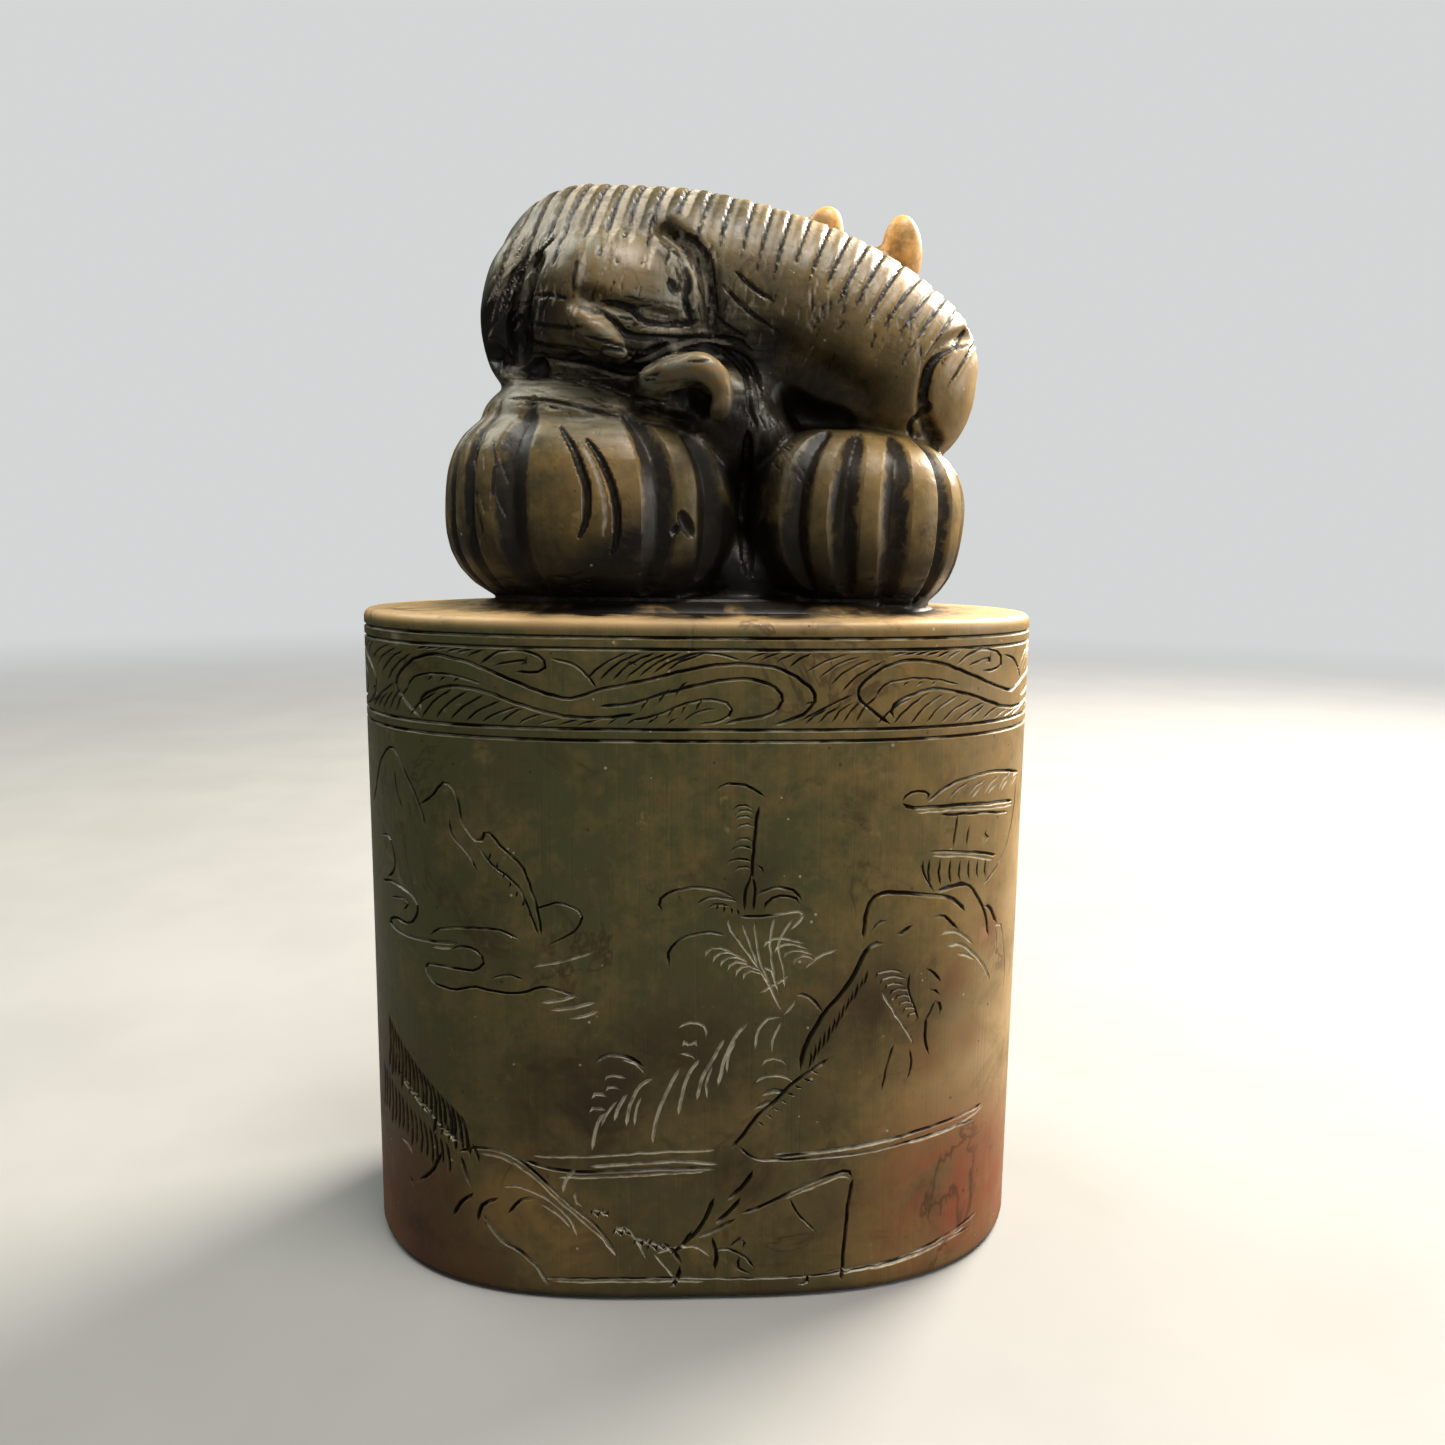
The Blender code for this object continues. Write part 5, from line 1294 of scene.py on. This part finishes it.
def mixed(tree, share, first, second):
    made = node(tree, "ShaderNodeMix", data_type="RGBA")
    for socket, value in ((made.inputs[0], share), (made.inputs[6], first), (made.inputs[7], second)):
        if isinstance(value, (int, float, tuple)):
            socket.default_value = value
        else:
            tree.links.new(value, socket)
    return made.outputs[2]


def mixedShader(tree, share, first, second):
    made = node(tree, "ShaderNodeMixShader")
    for socket, output in zip(made.inputs, (share, first, second)):
        tree.links.new(output, socket)
    return made.outputs[0]


def nearPlace(tree, vector, place, reach):
    # 1 at a place on the stone, given in millimetres, fading out over the reach
    made = node(tree, "ShaderNodeVectorMath", operation="DISTANCE")
    tree.links.new(vector, made.inputs[0])
    made.inputs[1].default_value = Vector(place) * mm
    return stretch(tree, made.outputs["Value"], 0.0, reach * mm, 1.0, 0.0)


def soapstoneGroup():
    # colour of the stone: clouded olive and honey, with pink, brown and specks where they belong, and painted
    # light and shade: paler toward the right and along the rim, highlights on the back and ears, and shade
    # under the back, between the haunches, in the paw's hole and at the beast's foot
    group, start, end = newGroup("soapstone colour", (
        ("Place", "NodeSocketVector", None), ("Olive", "NodeSocketColor", finish["olive"]),
        ("Honey", "NodeSocketColor", finish["honey"]), ("Warmth", "NodeSocketFloat", 0.0)),
        (("Colour", "NodeSocketColor"),))
    place = start.outputs["Place"]
    link = group.links.new
    parts = node(group, "ShaderNodeSeparateXYZ")
    link(place, parts.inputs[0])
    cloud = noise(group, place, scales["cloud"], 6, 0.62, 0.5)
    fineCloud = noise(group, place, scales["fineCloud"], 4, 0.6)
    warmthAndLight = start.outputs["Warmth"]
    for part, low, high, toLow, toHigh in warmthAndLightSteps:
        added = stretch(group, parts.outputs[part], low * mm, high * mm, toLow, toHigh)
        warmthAndLight = sums(group, "ADD", warmthAndLight, added)
    grain = noise(group, place, scales["grain"], 3, 0.6)
    for value, low, high, toLow, toHigh in (
            (cloud, 0.28, 0.72, -0.12, 0.36), (fineCloud, 0.30, 0.70, -0.10, 0.12),
            (grain, 0.32, 0.68, -0.07, 0.07)):
        warmthAndLight = sums(group, "ADD", warmthAndLight, stretch(group, value, low, high, toLow, toHigh))
    streaks = node(group, "ShaderNodeVectorMath", operation="MULTIPLY")
    streaks.inputs[1].default_value = scales["streaks"]
    link(place, streaks.inputs[0])
    brushed = noise(group, streaks.outputs["Vector"], 1.0, 3)
    warmthAndLight = sums(group, "ADD", warmthAndLight, stretch(group, brushed, 0.35, 0.7, 0.035, -0.05))
    clamped = node(group, "ShaderNodeClamp")
    link(warmthAndLight, clamped.inputs["Value"])
    colour = mixed(group, clamped.outputs[0], start.outputs["Olive"], start.outputs["Honey"])
    for scale, twist, low, high, strength, tint in clouding:
        patch = stretch(group, noise(group, place, scale, 6, 0.66, twist), low, high, 0.0, strength)
        colour = mixed(group, patch, colour, finish[tint])
    lowDown = sums(group, "MULTIPLY", stretch(group, parts.outputs["Z"], 8 * mm, 40 * mm, 0.62, 0.0),
                   stretch(group, cloud, 0.30, 0.60, 1.0, 0.25))
    colour = mixed(group, lowDown, colour, finish["umber"])
    # painted highlight along the block's rim: a cream band where light falls on the top edge
    rim = sums(group, "MULTIPLY", stretch(group, parts.outputs["Z"], 56.9 * mm, 57.9 * mm, 0.0, 0.80),
               stretch(group, parts.outputs["Z"], 58.4 * mm, 58.95 * mm, 1.0, 0.0))
    colour = mixed(group, rim, colour, finish["cream"])
    for places, reach, tint, strength in patches:
        for spot in places:
            near = nearPlace(group, place, spot, reach)
            clouded = noise(group, place, scales["patch"], 5, 0.65, 0.8)
            mask = sums(group, "MULTIPLY", near, stretch(group, clouded, 0.30, 0.62, 0.15, strength))
            colour = mixed(group, mask, colour, finish[tint])
    # painted shade and grime at the beast's foot, darkest just above the block's top
    foot = sums(group, "MULTIPLY", stretch(group, parts.outputs["Z"], 58.6 * mm, 59.1 * mm),
                stretch(group, parts.outputs["Z"], 60.5 * mm, 66 * mm, 1.0, 0.0))
    footShadeAndGrime = stretch(group, noise(group, place, scales["foot"], 4, 0.6), 0.30, 0.60, 0.60, 1.0)
    colour = mixed(group, sums(group, "MULTIPLY", foot, footShadeAndGrime), colour, finish["grimeAndShade"])
    for marks in dusty.values():
        longWay = node(group, "ShaderNodeVectorMath", operation="MULTIPLY")
        longWay.inputs[1].default_value = marks["stretch"]
        link(place, longWay.inputs[0])
        brush = stretch(group, noise(group, longWay.outputs["Vector"], 1.0, 3), 0.40, 0.60, 0.12, 0.95)
        for spot in marks["spots"]:
            mask = sums(group, "MULTIPLY", nearPlace(group, place, spot, marks["reach"]), brush)
            colour = mixed(group, mask, colour, finish["dust"])
    veins = noise(group, place, scales["vein"], 5, 0.55, 1.2)
    vein = sums(group, "ABSOLUTE", sums(group, "SUBTRACT", veins, 0.5), 0.0)
    vein = stretch(group, vein, 0.0, 0.022, 0.60, 0.0)
    veinPatch = stretch(group, noise(group, place, scales["veinPatch"], 2, 0.5), 0.50, 0.66, 0.0, 1.0)
    colour = mixed(group, sums(group, "MULTIPLY", vein, veinPatch), colour, finish["brown"])
    spots = node(group, "ShaderNodeTexVoronoi")
    spots.inputs["Scale"].default_value = scales["speck"]
    link(place, spots.inputs["Vector"])
    size = node(group, "ShaderNodeSeparateColor")
    link(spots.outputs["Color"], size.inputs[0])
    reach = stretch(group, size.outputs[0], 0.80, 1.0, 0.0, 0.17)
    speck = sums(group, "LESS_THAN", spots.outputs["Distance"], reach)
    colour = mixed(group, sums(group, "MULTIPLY", speck, 0.55), colour, finish["speck"])
    reach = stretch(group, size.outputs[1], 0.88, 1.0, 0.0, 0.14)
    pale = sums(group, "LESS_THAN", spots.outputs["Distance"], reach)
    colour = mixed(group, sums(group, "MULTIPLY", pale, 0.55), colour, finish["chalk"])
    link(colour, end.inputs["Colour"])
    return group


def workingGroup():
    # what carving and handling leave, with painted light and shade: grime in cuts, painted shade and grime in
    # hollows, a painted highlight on the upward flanks of cuts, chalk on scratches, and their roughness
    group, start, end = newGroup("carving and wear", (
        ("Place", "NodeSocketVector", None), ("Colour", "NodeSocketColor", None),
        ("Carved", "NodeSocketFloat", 0.0), ("Chalk", "NodeSocketFloat", 0.0),
        ("Hollow", "NodeSocketFloat", 0.0), ("Grime", "NodeSocketFloat", 1.0),
        ("Lips", "NodeSocketFloat", 0.0), ("Pale", "NodeSocketColor", finish["chalk"])),
        (("Colour", "NodeSocketColor"), ("Roughness", "NodeSocketFloat")))
    link = group.links.new
    place = start.outputs["Place"]
    patchy = noise(group, place, scales["dirt"], 4, 0.65)
    worn = stretch(group, noise(group, place, scales["worn"], 5, 0.7, 0.6), 0.32, 0.66, 0.45, 1.6)
    carved = stretch(group, sums(group, "MULTIPLY", start.outputs["Carved"], worn), 0.08, 0.44, 0.0, 1.0)
    carved = sums(group, "MULTIPLY", carved, stretch(group, patchy, 0.28, 0.52, 0.82, 1.0))
    # deep places darken by the hollow mark: painted shade, partly grime
    hollowShadeAndGrime = stretch(group, sums(group, "ADD", start.outputs["Hollow"],
                                    stretch(group, patchy, 0.3, 0.7, -0.12, 0.12)), 0.26, 0.72, 0.0, 0.95)
    grimeAndShade = sums(group, "MULTIPLY", sums(group, "MAXIMUM", carved, hollowShadeAndGrime), start.outputs["Grime"])
    # painted highlight on the upward-facing lower flank of each cut, partly pale chipped edges; it also
    # clears the grime there
    facing = node(group, "ShaderNodeVectorMath", operation="DOT_PRODUCT")
    link(node(group, "ShaderNodeNewGeometry").outputs["Normal"], facing.inputs[0])
    facing.inputs[1].default_value = (0.36, 0.0, 0.93)
    lip = sums(group, "MULTIPLY", stretch(group, facing.outputs["Value"], 0.30, 0.62), start.outputs["Lips"])
    lip = sums(group, "MULTIPLY", lip, stretch(group, noise(group, place, scales["lip"], 2), 0.42, 0.60))
    lip = sums(group, "MULTIPLY", lip, carved)
    grimeAndShade = sums(group, "MULTIPLY", grimeAndShade, sums(group, "SUBTRACT", 1.0, lip))
    colour = mixed(group, sums(group, "MULTIPLY", grimeAndShade, 0.95), start.outputs["Colour"], finish["grimeAndShade"])
    colour = mixed(group, sums(group, "MULTIPLY", lip, 0.55), colour, start.outputs["Pale"])
    chalk = sums(group, "MULTIPLY", stretch(group, start.outputs["Chalk"], 0.06, 0.50, 0.0, 0.9),
                 stretch(group, patchy, 0.34, 0.58, 0.35, 1.0))
    colour = mixed(group, chalk, colour, start.outputs["Pale"])
    link(colour, end.inputs["Colour"])
    rough = stretch(group, chalk, 0.0, 0.8, 0.0, finish["roughChalk"] - finish["roughPolished"])
    rough = sums(group, "ADD", rough,
                 stretch(group, grimeAndShade, 0.0, 1.0, finish["roughPolished"], finish["roughGrime"]))
    rough = sums(group, "ADD", rough,
                 stretch(group, noise(group, place, scales["dull"], 5, 0.6), 0.3, 0.7, -0.05, 0.09))
    link(rough, end.inputs["Roughness"])
    return group


def polishGroup():
    # height of fine polishing scratches, long one way, over a slight unevenness of the stone
    group, start, end = newGroup("polishing scratches", (
        ("Place", "NodeSocketVector", None), ("Along", "NodeSocketFloat", 60.0),
        ("Across", "NodeSocketFloat", 2600.0)),
        (("Height", "NodeSocketFloat"),))
    link = group.links.new
    scale = node(group, "ShaderNodeCombineXYZ")
    link(start.outputs["Across"], scale.inputs["X"])
    link(start.outputs["Across"], scale.inputs["Y"])
    link(start.outputs["Along"], scale.inputs["Z"])
    longWay = node(group, "ShaderNodeVectorMath", operation="MULTIPLY")
    link(start.outputs["Place"], longWay.inputs[0])
    link(scale.outputs[0], longWay.inputs[1])
    scratch = stretch(group, noise(group, longWay.outputs["Vector"], 1.0, 3, 0.6), 0.52, 0.68, 0.0, -0.6)
    grain = noise(group, start.outputs["Place"], scales["bumps"], 3, 0.55)
    height = sums(group, "ADD", scratch, sums(group, "MULTIPLY", grain, 0.35))
    link(height, end.inputs["Height"])
    return group


stoneGroup, workGroup, scratchGroup = soapstoneGroup(), workingGroup(), polishGroup()


def placedGroup(tree, group, **values):
    made = node(tree, "ShaderNodeGroup", node_tree=group)
    for name, value in values.items():
        socket = made.inputs[name]
        if isinstance(value, (int, float, tuple)):
            socket.default_value = value
        else:
            tree.links.new(value, socket)
    return made


def newMaterial(name):
    # a material, its tree and shader, and the places on the object in its own coordinates
    material = bpy.data.materials.new(name)
    material.use_nodes = True
    tree = material.node_tree
    return material, tree, tree.nodes["Principled BSDF"], node(tree, "ShaderNodeTexCoord").outputs["Object"]


def soapstone(name, olive, honey, pale, warmth, grimeAndShade, lips, along, across, scratchDeep):
    material, tree, shader, place = newMaterial(name)
    marks = {label: node(tree, "ShaderNodeAttribute", attribute_name=label).outputs["Fac"]
             for label in ("carved", "chalk", "hollow")}
    stoneNode = placedGroup(tree, stoneGroup, Place=place, Olive=olive, Honey=honey, Warmth=warmth)
    worked = placedGroup(tree, workGroup, Place=place, Colour=stoneNode.outputs["Colour"],
                         Carved=marks["carved"], Chalk=marks["chalk"], Hollow=marks["hollow"], Grime=grimeAndShade,
                         Lips=lips, Pale=pale)
    scratched = placedGroup(tree, scratchGroup, Place=place, Along=along, Across=across)
    bump = node(tree, "ShaderNodeBump")
    bump.inputs["Strength"].default_value = finish["bump"]
    bump.inputs["Distance"].default_value = scratchDeep
    tree.links.new(scratched.outputs["Height"], bump.inputs["Height"])
    tree.links.new(worked.outputs["Colour"], shader.inputs["Base Color"])
    tree.links.new(worked.outputs["Roughness"], shader.inputs["Roughness"])
    tree.links.new(bump.outputs["Normal"], shader.inputs["Normal"])
    for label, name in (("IOR", "refraction"), ("Specular IOR Level", "specular"),
                        ("Subsurface Weight", "glow"), ("Subsurface Radius", "glowColour"),
                        ("Subsurface Scale", "glowReach")):
        shader.inputs[label].default_value = finish[name]
    return material


# lips turns on the painted highlight on the upward flanks of cuts: on for the wall, off for the beast
stones = {
    "wall": {"name": "polished soapstone", "olive": finish["olive"], "honey": finish["honey"],
             "pale": finish["chalk"], "warmth": 0.0, "grimeAndShade": 1.0, "lips": 1.0, "along": 60, "across": 2600,
             "scratchDeep": 0.03 * mm},
    "beast": {"name": "carved soapstone", "olive": (0.040, 0.034, 0.013, 1),
              "honey": (0.25, 0.160, 0.048, 1), "pale": (0.32, 0.28, 0.22, 1), "warmth": 0.02, "grimeAndShade": 1.0,
              "lips": 0.0, "along": 1000, "across": 1500, "scratchDeep": 0.035 * mm},
}
wallStone = soapstone(**stones["wall"])
beastStone = soapstone(**stones["beast"])


def dressStone(piece):
    piece.data.materials.clear()
    for material in (wallStone, beastStone):
        piece.data.materials.append(material)
    heights = placesOf(piece.data)[:, 2]
    for face in piece.data.polygons:
        face.material_index = int(heights[list(face.vertices)].mean() > block["height"] + block["dome"])


dressStone(stone)
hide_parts("seal")
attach(stone, "root")
print("finish: done")


# Stage: a plain pale floor, soft light and the camera

stage = {
    "floor": (0.23, 0.23, 0.225, 1), "floorLow": (0.21, 0.21, 0.205, 1), "floorSize": 6.0, "floorRough": 0.8,
    "world": (0.82, 0.84, 0.84, 1), "worldLight": 0.08, "backdrop": 0.80, "fade": (0.12, 0.75),
    "bounce": (0.06, 0.06, 0.058, 1), "aim": (0, 0, 0.05),
}
lights = {
    "key": {"at": (0.34, 0.26, 0.38), "size": 0.28, "watts": 11.0, "colour": (1.0, 0.91, 0.79)},
    "side": {"at": (0.52, -0.10, 0.16), "size": 0.22, "watts": 1.5, "colour": (1.0, 0.97, 0.92)},
    "fill": {"at": (-0.40, -0.46, 0.24), "size": 0.40, "watts": 0.20, "colour": (0.94, 0.98, 1.0)},
    "top": {"at": (0.12, -0.13, 0.52), "size": 0.22, "watts": 3.3, "colour": (1.0, 0.94, 0.86)},
    "back": {"at": (-0.26, 0.10, 0.44), "size": 0.30, "watts": 2.0, "colour": (0.96, 1.0, 0.94)},
    "front": {"at": (0.12, -0.55, 0.26), "size": 0.30, "watts": 0.34, "colour": (1.0, 1.0, 1.0)},
}
view = {"at": (-2.182, -101.325, 63.983), "down": 0.163, "heading": 0.043, "roll": 0.011,
        "focal": 1100.07, "image": 1445, "sensor": 36.0, "clipStart": 0.005}


def addFloor():
    nothingSelected()
    bpy.ops.mesh.primitive_plane_add(size=stage["floorSize"], location=(0, 0, 0))
    floor = bpy.context.object
    floor.name = "floor"
    bpy.ops.object.transform_apply(location=True, rotation=True, scale=True)
    material, tree, shader, place = newMaterial("pale floor")
    far = node(tree, "ShaderNodeVectorMath", operation="LENGTH")
    tree.links.new(place, far.inputs[0])
    seen = node(tree, "ShaderNodeLightPath").outputs["Is Camera Ray"]
    fade = sums(tree, "MULTIPLY", stretch(tree, far.outputs["Value"], *stage["fade"]), seen)
    room = node(tree, "ShaderNodeEmission")
    room.inputs["Color"].default_value = stage["world"]
    room.inputs["Strength"].default_value = stage["backdrop"]
    # far away the floor turns into the pale room
    sweep = mixedShader(tree, fade, shader.outputs[0], room.outputs[0])
    tree.links.new(sweep, tree.nodes["Material Output"].inputs["Surface"])
    tone = mixed(tree, stretch(tree, noise(tree, place, 30, 4), 0.3, 0.7), stage["floorLow"], stage["floor"])
    # a darker floor for the light that bounces up to the stone, so its polish stays deep
    tree.links.new(mixed(tree, seen, stage["bounce"], tone), shader.inputs["Base Color"])
    shader.inputs["Roughness"].default_value = stage["floorRough"]
    floor.data.materials.append(material)


def addLights():
    for name, light in lights.items():
        nothingSelected()
        bpy.ops.object.light_add(type="AREA", location=light["at"])
        lamp = bpy.context.object
        lamp.name = name
        lamp.data.shape = "DISK"
        lamp.data.size = light["size"]
        lamp.data.energy = light["watts"]
        lamp.data.color = light["colour"]
        aim = Vector(stage["aim"]) - Vector(light["at"])
        lamp.rotation_euler = aim.to_track_quat("-Z", "Y").to_euler()
    world = bpy.data.worlds.new("soft room")
    world.use_nodes = True
    tree = world.node_tree
    lighting = tree.nodes["Background"]
    backdrop = node(tree, "ShaderNodeBackground")
    for background, strength in ((lighting, stage["worldLight"]), (backdrop, stage["backdrop"])):
        background.inputs["Color"].default_value = stage["world"]
        background.inputs["Strength"].default_value = strength
    # the camera sees a paler room than the one that lights the stone
    seen = node(tree, "ShaderNodeLightPath").outputs["Is Camera Ray"]
    both = mixedShader(tree, seen, lighting.outputs[0], backdrop.outputs[0])
    tree.links.new(both, tree.nodes["World Output"].inputs["Surface"])
    bpy.context.scene.world = world


def addCamera():
    nothingSelected()
    bpy.ops.object.camera_add()
    camera = bpy.context.object
    down, heading, roll = view["down"], view["heading"], view["roll"]
    ahead = Vector((math.sin(heading) * math.cos(down), math.cos(heading) * math.cos(down), -math.sin(down)))
    level = Vector((math.cos(heading), -math.sin(heading), 0))
    up = level.cross(ahead)
    right = level * math.cos(roll) + up * math.sin(roll)
    upright = up * math.cos(roll) - level * math.sin(roll)
    turned = Matrix((right, upright, -ahead)).transposed().to_4x4()
    turned.translation = Vector(view["at"]) * mm
    camera.matrix_world = turned
    camera.data.sensor_width = view["sensor"]
    camera.data.lens = view["sensor"] * view["focal"] / view["image"]
    camera.data.clip_start = view["clipStart"]
    bpy.context.scene.camera = camera


addFloor()
addLights()
addCamera()
bpy.context.scene.view_settings.view_transform = "Standard"
print("stage: done")
